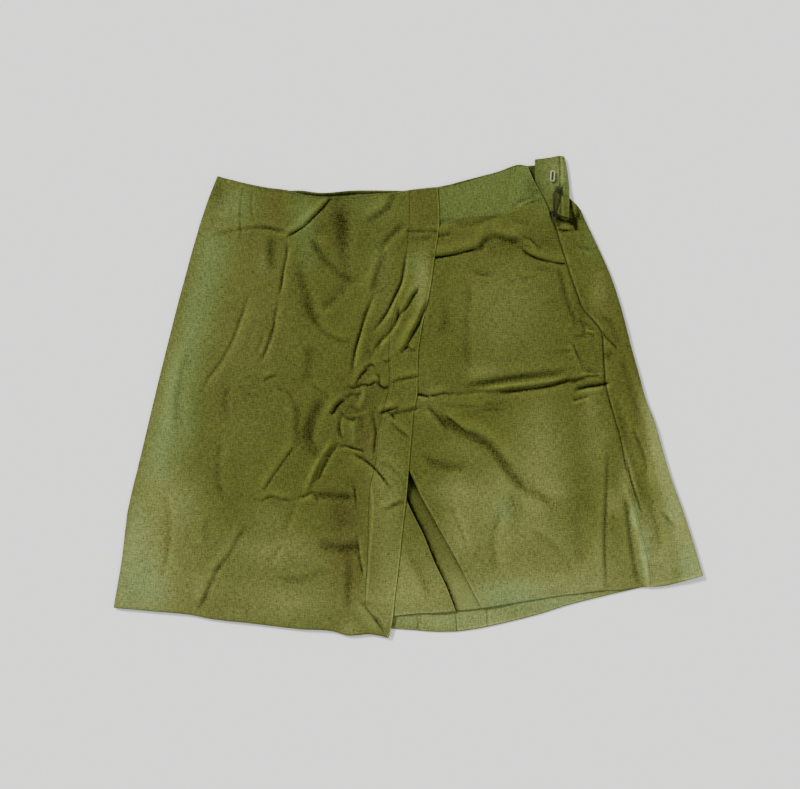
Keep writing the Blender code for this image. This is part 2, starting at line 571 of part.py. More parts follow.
def make_hook_bar(metal, collection):
    """Wire eye of the waist hook, sewn on the tab."""
    half_wide = BAR_SIZE[0] / 2 - BAR_WIRE
    half_tall = BAR_SIZE[1] / 2 - BAR_WIRE
    curve = wire_path(rounded_loop(half_wide, half_tall, 1.2), BAR_WIRE, True, "hook_bar")
    curve.materials.append(metal)
    bar = bpy.data.objects.new("hook_bar", curve)
    bar.location = (BAR_PLACE.across * MM, BAR_PLACE.up * MM, (TAB_TOP_Z + TOUCH + BAR_WIRE) * MM)
    bar.rotation_euler = (0, 0, radians(BAR_LEAN))
    collection.objects.link(bar)
    return bar


def box(name, size, centre, material, collection, round_off):
    """A block with rounded edges."""
    shape = bmesh.new()
    bmesh.ops.create_cube(shape, size=1.0)
    bmesh.ops.scale(shape, vec=[side * MM for side in size], verts=shape.verts)
    mesh = bpy.data.meshes.new(name)
    shape.to_mesh(mesh)
    shape.free()
    block = add_object(name, mesh, material, collection)
    block.location = [place * MM for place in centre]
    edges = block.modifiers.new("rounding", "BEVEL")
    edges.width = round_off * MM
    edges.segments = 2
    mesh.shade_smooth()
    return block


def make_zip_stop(metal, collection):
    """Clamp that ends the zip at the top of the tape."""
    centre = (STOP_PLACE.across, STOP_PLACE.up, TAPE_TOP_Z + TOUCH + STOP_SIZE[2] / 2)
    return box("zip_stop", STOP_SIZE, centre, metal, collection, 0.4)


def make_slider(metal, collection, guides):
    """Zip slider: a rounded block with the arch that holds the pull."""
    centre = (SLIDER_PLACE.across, SLIDER_PLACE.up, SLIDER_TOP_Z - SLIDER_SIZE[2] / 2)
    slider = box("zip_slider", SLIDER_SIZE, centre, metal, collection, 0.7)
    foot = SLIDER_TOP_Z - 0.8
    arch = [(SLIDER_PLACE.across, SLIDER_PLACE.up + BRIDGE_HALF, foot)]
    for step in range(9):
        angle = pi * step / 8
        arch.append((SLIDER_PLACE.across, SLIDER_PLACE.up + BRIDGE_HALF * cos(angle),
                     SLIDER_TOP_Z + BRIDGE_RISE * sin(angle)**0.6))
    arch.append((SLIDER_PLACE.across, SLIDER_PLACE.up - BRIDGE_HALF, foot))
    curve = wire_path(arch, BRIDGE_WIRE, False, "zip_bridge")
    bridge_curve = bpy.data.objects.new("zip_bridge_curve", curve)
    guides.objects.link(bridge_curve)
    bpy.context.view_layer.update()
    mesh = bpy.data.meshes.new_from_object(bridge_curve.evaluated_get(bpy.context.evaluated_depsgraph_get()))
    welded = bmesh.new()
    welded.from_mesh(mesh)
    bmesh.ops.remove_doubles(welded, verts=welded.verts, dist=1e-6)
    bmesh.ops.recalc_face_normals(welded, faces=welded.faces)
    welded.to_mesh(mesh)
    welded.free()
    bpy.data.objects.remove(bridge_curve)
    bridge = bpy.data.objects.new("zip_bridge_guide", mesh)
    guides.objects.link(bridge)
    bridge.hide_render = True
    bridge.display_type = "WIRE"
    union = slider.modifiers.new("bridge", "BOOLEAN")
    union.operation = "UNION"
    union.object = bridge
    return slider


def make_pull(metal, collection):
    """Zip pull: a flat tab whose window takes the arch; its origin is on its axis."""
    reach = PULL_ARMS + PULL_TAB
    outer = bpy.data.curves.new("zip_pull", "CURVE")
    outer.dimensions = "2D"
    outer.fill_mode = "BOTH"
    outer.extrude = PULL_THICK / 2 * MM
    half = PULL_WIDE / 2
    bar = 0.45                                   # half depth of the cross bar on the axis
    tip = [(half * cos(angle), -reach + half + half * sin(angle)) for angle in np.linspace(-pi, 0, 9)]
    add_flat_outline(outer, [(half, bar), (-half, bar)] + tip)
    window_half = BRIDGE_WIRE + 0.35
    add_flat_outline(outer, [(window_half, -bar), (-window_half, -bar), (-window_half, -PULL_ARMS),
                             (window_half, -PULL_ARMS)])
    pull = bpy.data.objects.new("zip_pull", outer)
    outer.materials.append(metal)
    pull.location = (SLIDER_PLACE.across * MM, SLIDER_PLACE.up * MM, (SLIDER_TOP_Z + PULL_ABOVE) * MM)
    pull.rotation_euler = (radians(PULL_DROOP), 0, 0)
    collection.objects.link(pull)
    return pull


def add_flat_outline(curve, points):
    """One closed outline of a flat shape."""
    spline = curve.splines.new("POLY")
    spline.points.add(len(points) - 1)
    for place, point in zip(spline.points, points):
        place.co = (point[0] * MM, point[1] * MM, 0.0, 1.0)
    spline.use_cyclic_u = True


def main():
    for old in list(bpy.data.objects):
        bpy.data.objects.remove(old, do_unlink=True)
    garment = bpy.data.collections.new("skort")
    guides = bpy.data.collections.new("guides")
    bpy.context.scene.collection.children.link(garment)
    bpy.context.scene.collection.children.link(guides)

    olive = finish("olive_cotton", (0.17, 0.19, 0.055), 0.9)
    inside = finish("olive_cotton_inside", (0.12, 0.13, 0.045), 0.92)
    edge = finish("olive_cotton_band", (0.19, 0.18, 0.07), 0.9)
    tape = finish("zip_tape_woven", (0.10, 0.10, 0.05), 0.85)
    dark_metal = finish("burnished_metal", (0.06, 0.045, 0.05), 0.4, 1.0)
    painted = finish("painted_metal", (0.11, 0.12, 0.06), 0.45, 0.3)
    bright_metal = finish("nickel", (0.75, 0.76, 0.68), 0.25, 1.0)

    make_back_right(olive, garment)
    make_back_left(olive, garment)
    make_inner_leg(inside, garment)
    make_facing(inside, garment)
    make_front_right(olive, garment)
    make_front_left(olive, garment)
    make_wrap(olive, garment)
    make_band(edge, garment)
    make_tab(olive, garment)
    make_zip_tape(tape, garment)
    make_hook_bar(bright_metal, garment)
    make_zip_stop(dark_metal, garment)
    make_slider(dark_metal, garment, guides)
    make_pull(painted, garment)


main()
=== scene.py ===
# %% [markdown]
# # A wrap-front skort, laid flat
# This script dresses the plain solids of an olive cotton skort that lies on its back with its front up.
# The real garment is a pair of shorts with a wrap panel over the wearer's right leg. What makes it look like
# cloth is the way layer lies on layer, the many creases that were slept into it, a slubby weave, and
# stitching at the hems and edges. Each of these gets a step of its own.

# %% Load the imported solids
from collections import namedtuple

import bpy
import numpy as np
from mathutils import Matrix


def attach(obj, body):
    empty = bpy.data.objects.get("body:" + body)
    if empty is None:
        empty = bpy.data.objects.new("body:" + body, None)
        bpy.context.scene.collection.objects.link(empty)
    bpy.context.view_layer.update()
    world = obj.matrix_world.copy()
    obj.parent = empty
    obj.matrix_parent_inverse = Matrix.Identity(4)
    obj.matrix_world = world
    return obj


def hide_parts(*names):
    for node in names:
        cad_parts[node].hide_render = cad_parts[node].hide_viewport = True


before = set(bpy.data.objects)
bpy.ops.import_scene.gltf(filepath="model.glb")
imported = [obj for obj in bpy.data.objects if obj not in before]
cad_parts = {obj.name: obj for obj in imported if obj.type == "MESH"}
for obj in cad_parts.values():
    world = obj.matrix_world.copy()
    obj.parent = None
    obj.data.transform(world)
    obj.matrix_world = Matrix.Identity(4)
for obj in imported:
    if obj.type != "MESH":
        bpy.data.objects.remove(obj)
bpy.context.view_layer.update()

# %% [markdown]
# ## Sizes
# Everything below is in millimetres: "across" runs to the right as the garment lies, "up" runs to its waist.
# The cloth is drawn a little thinner than the solids' wall, and its layers lie closer than theirs, because
# the shadow along every edge shows how far apart two layers are. Beside the zip the layers keep the height
# of the solids, since the metal parts sit there.

# %% Sizes of the cloth and of its layers
MM = 0.001
CLOTH = 0.7                 # thickness of one layer as it shows
BACK_MID = 0.5              # middle of the layer that rests on the surface
LAYER = 1.15                # from one layer's middle to the next
FIRST_MID = BACK_MID + LAYER
TAB_MID = 3.9
OVER_TAB_MID = 5.7

Spot = namedtuple("Spot", "across up")


def spots(*pairs):
    """A short run of points as named columns."""
    return [Spot(*pair) for pair in pairs]


def heights_along(run, across):
    """How far up a run lies at given places across."""
    return np.interp(across, [spot.across for spot in run], [spot.up for spot in run])


print("one layer is", CLOTH, "mm thick, layers are", LAYER, "mm apart")

# %% [markdown]
# ## The cut
# A pattern cutter would draw these outlines on paper. They are short tables of points along each edge, and
# a smooth curve is passed through them. Edges that touch, such as the two sides of a seam, share one table.

# %% Outlines of the wrap panel and its edge band
WRAP_WAIST = spots((-190.5, 221), (-162, 212), (-138, 207), (-121, 205), (-103, 200), (-76, 198),
                   (-56, 199.5), (-42, 201), (-14, 203), (2, 206.2))
WRAP_SIDE = spots((-190.5, 221), (-199.6, 198), (-208, 173), (-229.2, 97), (-250, 14), (-265.7, -52),
                  (-280.6, -115), (-286.4, -163), (-294.6, -211))
WRAP_HEM = spots((-294.6, -211), (-257, -214.4), (-216, -218.3), (-201, -221.4), (-157.5, -226.5),
                 (-108, -232.3), (-73, -235), (-62, -238.4), (-36, -237.6), (-25, -239.6), (-19.4, -241.2))
BAND_SEAM = spots((2, 206.2), (1.4, 174.5), (-1, 147), (-8, 107), (-17, 67), (-19, 37), (-18, 13),
                  (-24, -11.5), (-29, -33), (-31.4, -63), (-37, -88), (-39, -118), (-39.5, -148),
                  (-41, -178), (-42.5, -207))
BAND_MITRE = spots((-42.5, -207), (-33, -222), (-19.4, -241.2))
BAND_FREE = spots((30, 208.5), (31.3, 174.5), (26.8, 140.6), (22, 107), (13.5, 67), (10.5, 47), (9.5, 17),
                  (9, 1), (6, -12), (4, -33), (1.5, -63), (-1.6, -102), (-5, -129.5), (-8.5, -163),
                  (-13, -199), (-16.3, -228), (-19, -240.8))
BAND_WAIST = spots((2, 206.2), (16, 207.2), (30, 208.5))
print("wrap hem runs from", WRAP_HEM[0].across, "to", WRAP_HEM[-1].across, "mm across")

# %% Outlines of the shorts: backs, fronts, inside leg, side
BACK_WAIST_RIGHT = spots((-188.5, 219), (-162, 210.5), (-138, 206), (-127, 206), (-110, 207), (-87, 204.6),
                         (-56.5, 206.8), (-10.6, 206.8))
BACK_WAIST_LEFT = spots((-10.1, 206.8), (20, 206.4), (34, 207.6), (59, 214.5), (90, 224), (114, 231),
                        (126, 232), (140, 233), (153, 235))
CENTRE_SEAM = spots((-10.6, 206.8), (-10.6, 76), (-10.6, -53))
INNER_LEG_RIGHT = spots((-10.6, -53), (-8, -75), (-1.6, -102), (5.7, -118), (15, -136.4), (25.7, -163),
                        (38.5, -190), (48, -214.5))
INNER_HEM_STEP = spots((48, -214.5), (48.8, -225), (49.5, -235))
BACK_HEM_RIGHT = spots((-292.5, -207), (-216, -214), (-158, -222.5), (-108, -228.5), (-62, -232),
                       (-16, -232.2), (0, -233.2), (30, -235.3), (49.5, -235))
BACK_HEM_LEFT = spots((50.1, -232.8), (70.6, -230), (101, -223.7), (132, -216), (160, -207.5), (188, -200.5),
                      (240, -189), (293, -178.5))
TURN_START = spots((153, 235), (156.2, 220), (158.2, 206), (159.8, 200))
OUTLINE_LEFT = spots((161.4, 199.5), (169, 192.5), (179, 173), (191, 148), (202.5, 122), (211, 97), (218, 72),
                     (224, 48), (231, 23.5), (237.6, -1), (247, -25), (256, -57), (264, -83), (273.6, -109),
                     (285, -144), (295.3, -178.5))
RETURN_HEM = spots((293.5, -179), (275, -184.6), (255, -189.4), (244.4, -190.4))
RETURN_TOP = spots((160.5, 198.2), (156, 192), (150, 186.5), (142.6, 180.5))
FRONT_WAIST_LEFT = spots((-10.2, 201.5), (10, 205.4), (30.4, 208), (59, 216), (90, 225.4), (114, 232),
                         (119.5, 230.5))
FRONT_WAIST_RIGHT = spots((-182.4, 213), (-162, 208), (-138, 203.4), (-121, 201.4), (-103, 196.8), (-76, 195),
                          (-42, 197.6), (-10.6, 199.5))
FRONT_HEM_RIGHT = spots((-286, -200), (-216, -207), (-157, -214), (-108, -219), (-60, -221), (-12, -218.5),
                        (9, -216.6), (23, -216), (48, -214.5))
INNER_LEG_LEFT = spots((-10.2, -53), (0.7, -73), (12, -97), (27, -124), (49, -163), (62, -188.5),
                       (74, -211.3))
FRONT_HEM_LEFT = spots((74, -211.3), (111, -205.4), (146, -199.8), (174, -196.3), (198, -193.6),
                       (210, -193.8), (224, -191.4), (243.3, -190))
ZIP_EDGE = spots((119.5, 230.5), (126.2, 214.7), (133.1, 201.7), (139.2, 188.5), (142, 180.5))
SIDE_SEAM = spots((142, 180.5), (148.4, 165.7), (155, 145), (163, 119.5), (169, 103), (174, 89), (184.7, 77),
                  (192.8, 65.8), (195, 47), (196, 27), (197, 13.7), (204.5, -15), (212.4, -43), (218, -73),
                  (224, -98), (236.6, -149), (242, -177), (243.3, -190))
FACING_SEAM = spots((30, 171), (40, 175), (53, 179.5), (66, 181.5), (87, 182.5), (98, 183.5), (106, 187),
                    (114, 192), (122, 196), (130, 199))
GORE_TOP = spots((-15, -60), (2.5, -60))
GORE_RIGHT = spots((-15, -60), (-11.5, -85), (-10, -104), (-3, -120), (6, -138), (17, -165), (29.5, -192),
                   (39, -215))
GORE_LEFT = spots((2.5, -60), (10, -75), (21, -98), (36, -125), (58, -164), (71, -189), (82, -209.2))
GORE_HEM = spots((39, -215.2), (48, -214.4), (60, -213.2), (72, -212), (82, -209.2))
TAB_TOP = spots((126.7, 237.4), (143.8, 239.7), (151, 241), (156.4, 240.4))
TAB_OUTER = spots((156.4, 240.4), (159.1, 225.6), (160.6, 213), (161.3, 201), (161, 179))
TAB_BOTTOM = spots((127.5, 190), (140, 185.4), (151, 182), (161, 179))
TAB_INNER = spots((126.7, 237.4), (126.9, 214), (127.5, 190))
print("the garment reaches from", WRAP_HEM[0].across, "to", OUTLINE_LEFT[-1].across, "mm across")

# %% [markdown]
# ## From outlines to surfaces
# A panel has four edges. A Coons patch fills the space between them: it blends the top edge into the hem,
# and the right edge into the left one, and takes off what both blends count twice. Two numbers from 0 to 1,
# one down and one across, then name every point of the cloth.


# %% Smooth edges
def run_steps(run):
    """Straight-line lengths between the neighbouring spots of a run."""
    return np.hypot(*np.diff(np.array(run, float), axis=0).T)


def smooth_run(run, share):
    """Cubic Hermite curve through the spots: start and end values and slopes, blended by cubic weights."""
    points = np.array(run, float)
    knots = np.concatenate([[0.0], np.cumsum(run_steps(run))])
    knots /= knots[-1]
    slopes = np.gradient(points, knots, axis=0)
    piece = np.clip(np.searchsorted(knots, share, side="right") - 1, 0, len(knots) - 2)
    width = (knots[piece + 1] - knots[piece])[:, None]
    part = (share - knots[piece])[:, None] / width
    return ((2 * part**3 - 3 * part**2 + 1) * points[piece]
            + (part**3 - 2 * part**2 + part) * width * slopes[piece]
            + (3 * part**2 - 2 * part**3) * points[piece + 1]
            + (part**3 - part**2) * width * slopes[piece + 1])


def along(runs, at):
    """Points at fractions of the length of an edge made of smooth runs that meet in corners."""
    lengths = [run_steps(run).sum() for run in runs]
    ends = np.concatenate([[0.0], np.cumsum(lengths)]) / sum(lengths)
    found = np.zeros((len(at), 2))
    for number, run in enumerate(runs):
        inside = (at >= ends[number] - 1e-9) & (at <= ends[number + 1] + 1e-9)
        share = (at[inside] - ends[number]) / (ends[number + 1] - ends[number])
        found[inside] = smooth_run(run, np.clip(share, 0, 1))
    return found


def corner_shares(runs):
    """Fractions of an edge's length at which its runs meet."""
    lengths = [run_steps(run).sum() for run in runs]
    return np.cumsum(lengths)[:-1] / sum(lengths)


print("smooth edge test:", along([BAND_WAIST], np.array([0, 0.5, 1])).round(1).tolist())


# %% The patch between four edges
def patch(top, bottom, right_side, left_side, over):
    """Coons patch: (1-v) top + v bottom + (1-u) right + u left, less the blend of the four corners."""
    across = over[None, :, None]
    steps = sum(np.linalg.norm(np.diff(side, axis=0), axis=1) for side in (right_side, left_side))
    down = (np.concatenate([[0.0], np.cumsum(steps)]) / steps.sum())[:, None, None]
    corners = ((1 - across) * (1 - down) * top[0] + across * (1 - down) * top[-1]
               + (1 - across) * down * bottom[0] + across * down * bottom[-1])
    return ((1 - down) * top[None] + down * bottom[None]
            + (1 - across) * right_side[:, None] + across * left_side[:, None] - corners)


def moved(points, across=0.0, up=0.0):
    """The same points shifted in the plane."""
    return points + np.array([across, up])


def even(count):
    """Shares of a side cut into equal steps."""
    return np.linspace(0, 1, count + 1)


def edged(count, length, first=True, last=True):
    """Equal shares, with finer steps, 0.5, 1.2 and 2.4 mm from the ends, where an edge is pressed flat."""
    *fine, rest = np.array([0.5, 1.2, 2.4]) / length
    inner = np.linspace(rest if first else 0, 1 - (rest if last else 0), count + 1)
    return np.concatenate([[0.0], fine] * first + [inner] + [1 - np.flip(fine), [1.0]] * last)


print("edged shares of 20 mm:", edged(4, 20).round(3).tolist())

# %% [markdown]
# ## Heights: layers, swells and creases
# The garment is nearly flat, so its form is a height over the plane. Three things add up. The level steps
# up where a panel lies over a facing or over another leg. Swells are the low air pockets of cloth that
# isn't pressed. Creases are what catches the light: each is a narrow trough along a bent line, with a
# broader ridge of pushed-up cloth on one side. They were placed one by one, and they weaken
# towards their ends. Troughs never sink through the layer below.


# %% Distances that the heights are made from
def smooth(value):
    """0 to 1 with level ends: 3 v^2 - 2 v^3 of the value held between 0 and 1."""
    value = np.clip(value, 0, 1)
    return value * value * (3 - 2 * value)


def fade(distance, width):
    """1 at distance 0, and less on both sides: exp(-(distance/width)^2)."""
    return np.exp(-(distance / width)**2)


def distance_along(path, across, up):
    """Distance to a bent line, positive on the left of its direction, and the share of its length."""
    points = np.array(path, float)
    start, step = points[:-1], np.diff(points, axis=0)
    length = np.hypot(step[:, 0], step[:, 1])
    done = np.concatenate([[0.0], np.cumsum(length)])
    gap_across = across[..., None] - start[:, 0]
    gap_up = up[..., None] - start[:, 1]
    part = np.clip((gap_across * step[:, 0] + gap_up * step[:, 1]) / length**2, 0, 1)
    away = np.hypot(gap_across - part * step[:, 0], gap_up - part * step[:, 1])
    side = np.where(step[:, 0] * gap_up - step[:, 1] * gap_across >= 0, 1.0, -1.0)
    nearest = away.argmin(axis=-1)[..., None]
    signed = np.take_along_axis(away * side, nearest, -1)[..., 0]
    reached = np.take_along_axis(done[:-1] + part * length, nearest, -1)[..., 0]
    return signed, reached / done[-1]


def apart(run, across, up):
    """Distance to a run on either side of it."""
    return np.abs(distance_along(run, across, up)[0])


def edge_at(run, up):
    """How far across an edge lies at given heights."""
    stations = sorted((spot.up, spot.across) for spot in run)
    return np.interp(up, [station[0] for station in stations], [station[1] for station in stations])


def waist_at(across):
    """Height of the waist edge above the middle of the garment."""
    return heights_along(WRAP_WAIST + FRONT_WAIST_LEFT[2:], across)


print("the waist edge's middle stands", round(float(waist_at(0.0)), 1), "mm above the garment's middle")

# %% Swells: low pockets of air under the upper layer
Mound = namedtuple("Mound", "amount across up wide tall")


def mounds_from(*rows):
    """Mounds from rows of amount, across, up, wide and tall."""
    return [Mound(*row) for row in rows]


SWELLS = mounds_from(
    (3.6, -118, 60, 80, 95), (2.6, -190, -60, 60, 110), (2.8, -95, -140, 75, 60), (4.6, -12, 25, 46, 85),
    (4.4, 92, 82, 72, 58), (3.8, 118, -62, 85, 62), (2.2, 165, -140, 55, 45), (3.0, 212, 20, 26, 70),
    (2.4, 240, -110, 30, 60),
)
print("air pockets:", len(SWELLS), "up to", max(swell.amount for swell in SWELLS), "mm high")

# %% Creases of the left front, at the waist
# A crease is a trough `depth` deep and `sharp` wide, with a ridge `lift` high and `broad` wide on its left
# (side 1) or right (side -1) as its path runs. A negative depth is a raised line. `ends` says which ends run
# on at full depth: 0 none, 1 the first, 2 the last, 3 both.
Crease = namedtuple("Crease", "depth sharp lift broad side ends path")


def creases_from(*rows):
    """Creases from rows of depth, sharp, lift, broad, side and ends, and then the spots of the path."""
    return [Crease(*row[:6], spots(*row[6:])) for row in rows]


FRONT_CREASES = creases_from(
    (3.6, 2.0, 1.3, 6, 1, 1, (26, 139.5), (42, 141.5), (57, 145), (72, 148.5)),
    (2.6, 4.0, 1.2, 7, 1, 0, (62, 146), (72, 149), (80, 157), (89, 159.5), (99, 157), (118, 154)),
    (1.4, 1.6, 0.8, 3, -1, 0, (112, 159.5), (121.5, 157.6), (129, 151), (134, 145)),
    (3.2, 1.9, 1.0, 5, 1, 2, (112, 150), (120, 143), (128, 139), (140, 135.5), (155, 133)),
    (1.5, 2.2, 0.6, 5, 1, 1, (30, 161.5), (36, 161), (44, 163)),
    (1.2, 3.4, 0.5, 5, -1, 1, (32, 173), (46, 176), (55, 171), (66, 172), (80, 177), (100, 183)),
    (1.6, 2.4, 0.8, 4, -1, 0, (102, 186), (112, 194), (120, 197), (132, 198)),
    (1.5, 1.6, 0.6, 3, 1, 0, (113, 190), (123, 194), (134, 196)),
    (1.0, 1.8, 0.4, 4, 1, 0, (110, 119.5), (119, 118), (129, 119.5)),
    (1.0, 2.4, 0.5, 4, -1, 0, (60, 127), (72, 122), (88, 121)),
)
print("creases at the waist of the left front:", len(FRONT_CREASES))

# %% Creases of the left front, at the hip
# A soft trough above, a lit ridge, a sharp trough below, and the fold's tail by the seam.
FRONT_CREASES += creases_from(
    (2.6, 4.5, 0.6, 7, 1, 0, (50, 6), (62, 10), (82, 14), (112, 18.5), (137, 21.5), (166, 25)),
    (-2.6, 3.6, 0, 1, 1, 0, (64, 7), (92, 10), (122, 13.5), (150, 17.5), (168, 20.5)),
    (3.4, 2.9, 0.5, 6, -1, 0, (84, 3.5), (104, 5.5), (122, 7.5), (137, 9.5), (152, 13.5), (175, 20)),
    (3.4, 1.8, 0.9, 4, -1, 1, (7, 3), (12, 2), (18, 0.6), (22, 0)),
    (1.9, 1.7, 0.9, 4, 1, 0, (18, 0.8), (27, 1.4), (36, 3.4), (46, 2)),
    (2.2, 2.6, 0.6, 4, -1, 0, (19, -9), (28, -18), (36, -28), (42, -36)),
    (1.4, 2.2, 0.5, 5, -1, 0, (36, 4.5), (52, 2.5), (72, 5.5), (90, 3.5)),
    (4.2, 2.3, 1.2, 4, -1, 2, (166, 6), (174, 8.5), (181, 10), (189, 11), (198, 13)),
    (2.0, 1.8, 0.8, 3, 1, 2, (160, 12), (168, 16), (178, 20), (190, 21)),
    (1.8, 1.6, 0.7, 3, -1, 0, (163, -4), (172, -2), (183, 1.5)),
    (0.9, 2.0, 0.4, 4, 1, 0, (22, -7), (40, -9), (60, -10), (84, -12)),
)
print("with those at the hip:", len(FRONT_CREASES))

# %% Creases of the left front, at the thigh and beside the zip's end
FRONT_CREASES += creases_from(
    # the drag across the thigh
    (3.3, 5.5, 1.2, 8, 1, 0, (23, -15), (38, -24), (55, -35), (70, -42), (84, -51), (95, -65), (106, -81)),
    (2.2, 6.0, 0.8, 9, -1, 0, (92, -60), (106, -81), (117, -92), (137, -103), (152, -117)),
    (2.0, 1.5, 0.9, 3, 1, 0, (36, -18), (46, -25), (54, -32), (64, -40)),
    (1.0, 2.0, 0.5, 5, 1, 0, (66, -15.5), (80, -13.5), (100, -14)),
    (1.5, 5.5, 0.4, 6, -1, 0, (14, -58), (28, -67), (44, -72), (64, -70)),
    (0.9, 4.0, 0.5, 6, 1, 0, (120, -132), (142, -146), (160, -166), (168, -186)),
    (1.1, 4.5, 0.6, 7, 1, 0, (96, -108), (88, -132), (86, -156), (92, -180)),
    (1.6, 2.4, 0.8, 6, -1, 2, (200, -43), (199, -83), (198, -114), (197, -143), (199, -192)),
    (1.8, 3.4, 0.5, 5, -1, 2, (217, -92), (221, -126), (225, -158), (231, -189)),
    (-1.6, 3.2, 0, 1, 1, 2, (213, -78), (222, -106), (231, -140), (238, -168), (241, -190)),
    (1.0, 1.5, 0.5, 3, 1, 0, (173, 76), (180, 72), (184, 69)),
    (1.3, 1.4, 0.6, 3, -1, 0, (178, 68), (184, 67.5), (190, 67)),
    (1.6, 3.6, 0.4, 5, 1, 0, (150, 134), (155, 114), (159, 98), (164, 84), (170, 70)),
    # broad soft stripes where the cloth hangs between the swells
    (0.9, 5.0, 0.3, 7, 1, 0, (60, 124), (62, 100), (60, 70), (60, 44), (64, 18)),
    (0.8, 6.0, 0.2, 6, -1, 0, (36, 96), (38, 76), (35, 58)),
    (0.9, 4.0, 0.3, 5, 1, 0, (128, 128), (140, 127), (150, 121)),
    (1.0, 3.5, 0.3, 5, 1, 0, (76, -6), (86, -9), (98, -5)),
    (0.9, 4.0, 0.3, 5, -1, 0, (104, 178), (112, 174), (124, 172)),
    (1.2, 5.0, 0.6, 6, -1, 0, (-4, -148), (6, -166), (16, -184), (22, -208)),
    (0.9, 3.0, 0.4, 4, 1, 0, (40, -104), (52, -128), (62, -160)),
    (0.8, 7.0, 0.3, 7, 1, 0, (168, -112), (172, -140), (174, -176)),
    # crumples round the sewn-down end of the zip
    (1.6, 1.5, 0.7, 3, 1, 0, (165, 60), (172, 61), (180, 63), (188, 61)),
    (1.4, 1.5, 0.6, 3, -1, 0, (164, 56), (169, 44), (175, 32), (178, 25)),
    (1.5, 1.7, 0.6, 3, -1, 0, (175, 27), (183, 24.5), (193, 24)),
    (1.3, 1.6, 0.4, 3, 1, 0, (171, 77), (176, 72), (177, 66), (174, 62)),
    (0.9, 2.0, 0.4, 3, 1, 0, (150, 46), (159, 45.5), (166, 45)),
)
print("with those at the thigh:", len(FRONT_CREASES))

# %% Creases of the back that comes round the side
RETURN_CREASES = creases_from(
    (1.7, 1.4, 0.4, 3, 1, 1, (218.3, -64), (223, -83), (230, -105), (236, -122)),
    (1.2, 5.0, 0.9, 7, 1, 0, (204, 6), (212, -18), (222, -52), (232, -86), (238, -110)),
    (1.1, 4.0, 0.9, 6, 1, 0, (232, -62), (240, -92), (247, -122), (256, -160)),
    (1.5, 2.2, 0.7, 4, 1, 0, (250, -111), (260, -122), (272, -136)),
    (-1.5, 2.0, 0, 1, 1, 0, (165.5, 197), (167, 190), (168.5, 184)),
    (2.4, 3.0, 0.4, 4, -1, 0, (160, 178), (165, 173), (169, 166)),
    (1.6, 1.6, 0.7, 3, 1, 0, (148, 167.5), (155, 166.5), (163, 166)),
    (1.0, 3.0, 0.5, 5, -1, 0, (163, 152), (176, 148), (188, 146)),
    (1.4, 3.6, 0.6, 5, 1, 0, (190, 82), (200, 76), (208, 64), (212, 50)),
    (1.2, 4.0, 0.6, 6, 1, 0, (214, 40), (224, 8), (233, -22)),
    (2.0, 1.5, 0.7, 3, -1, 1, (193, 66), (199, 58), (205, 52), (211, 46)),
    (1.0, 5.0, 0.2, 5, 1, 0, (193, 38), (199, 41), (206, 44)),
    (1.6, 2.6, 0.5, 4, 1, 0, (222, -26), (230, -44), (237, -62), (239, -82)),
)
print("creases beside the side seam:", len(RETURN_CREASES))

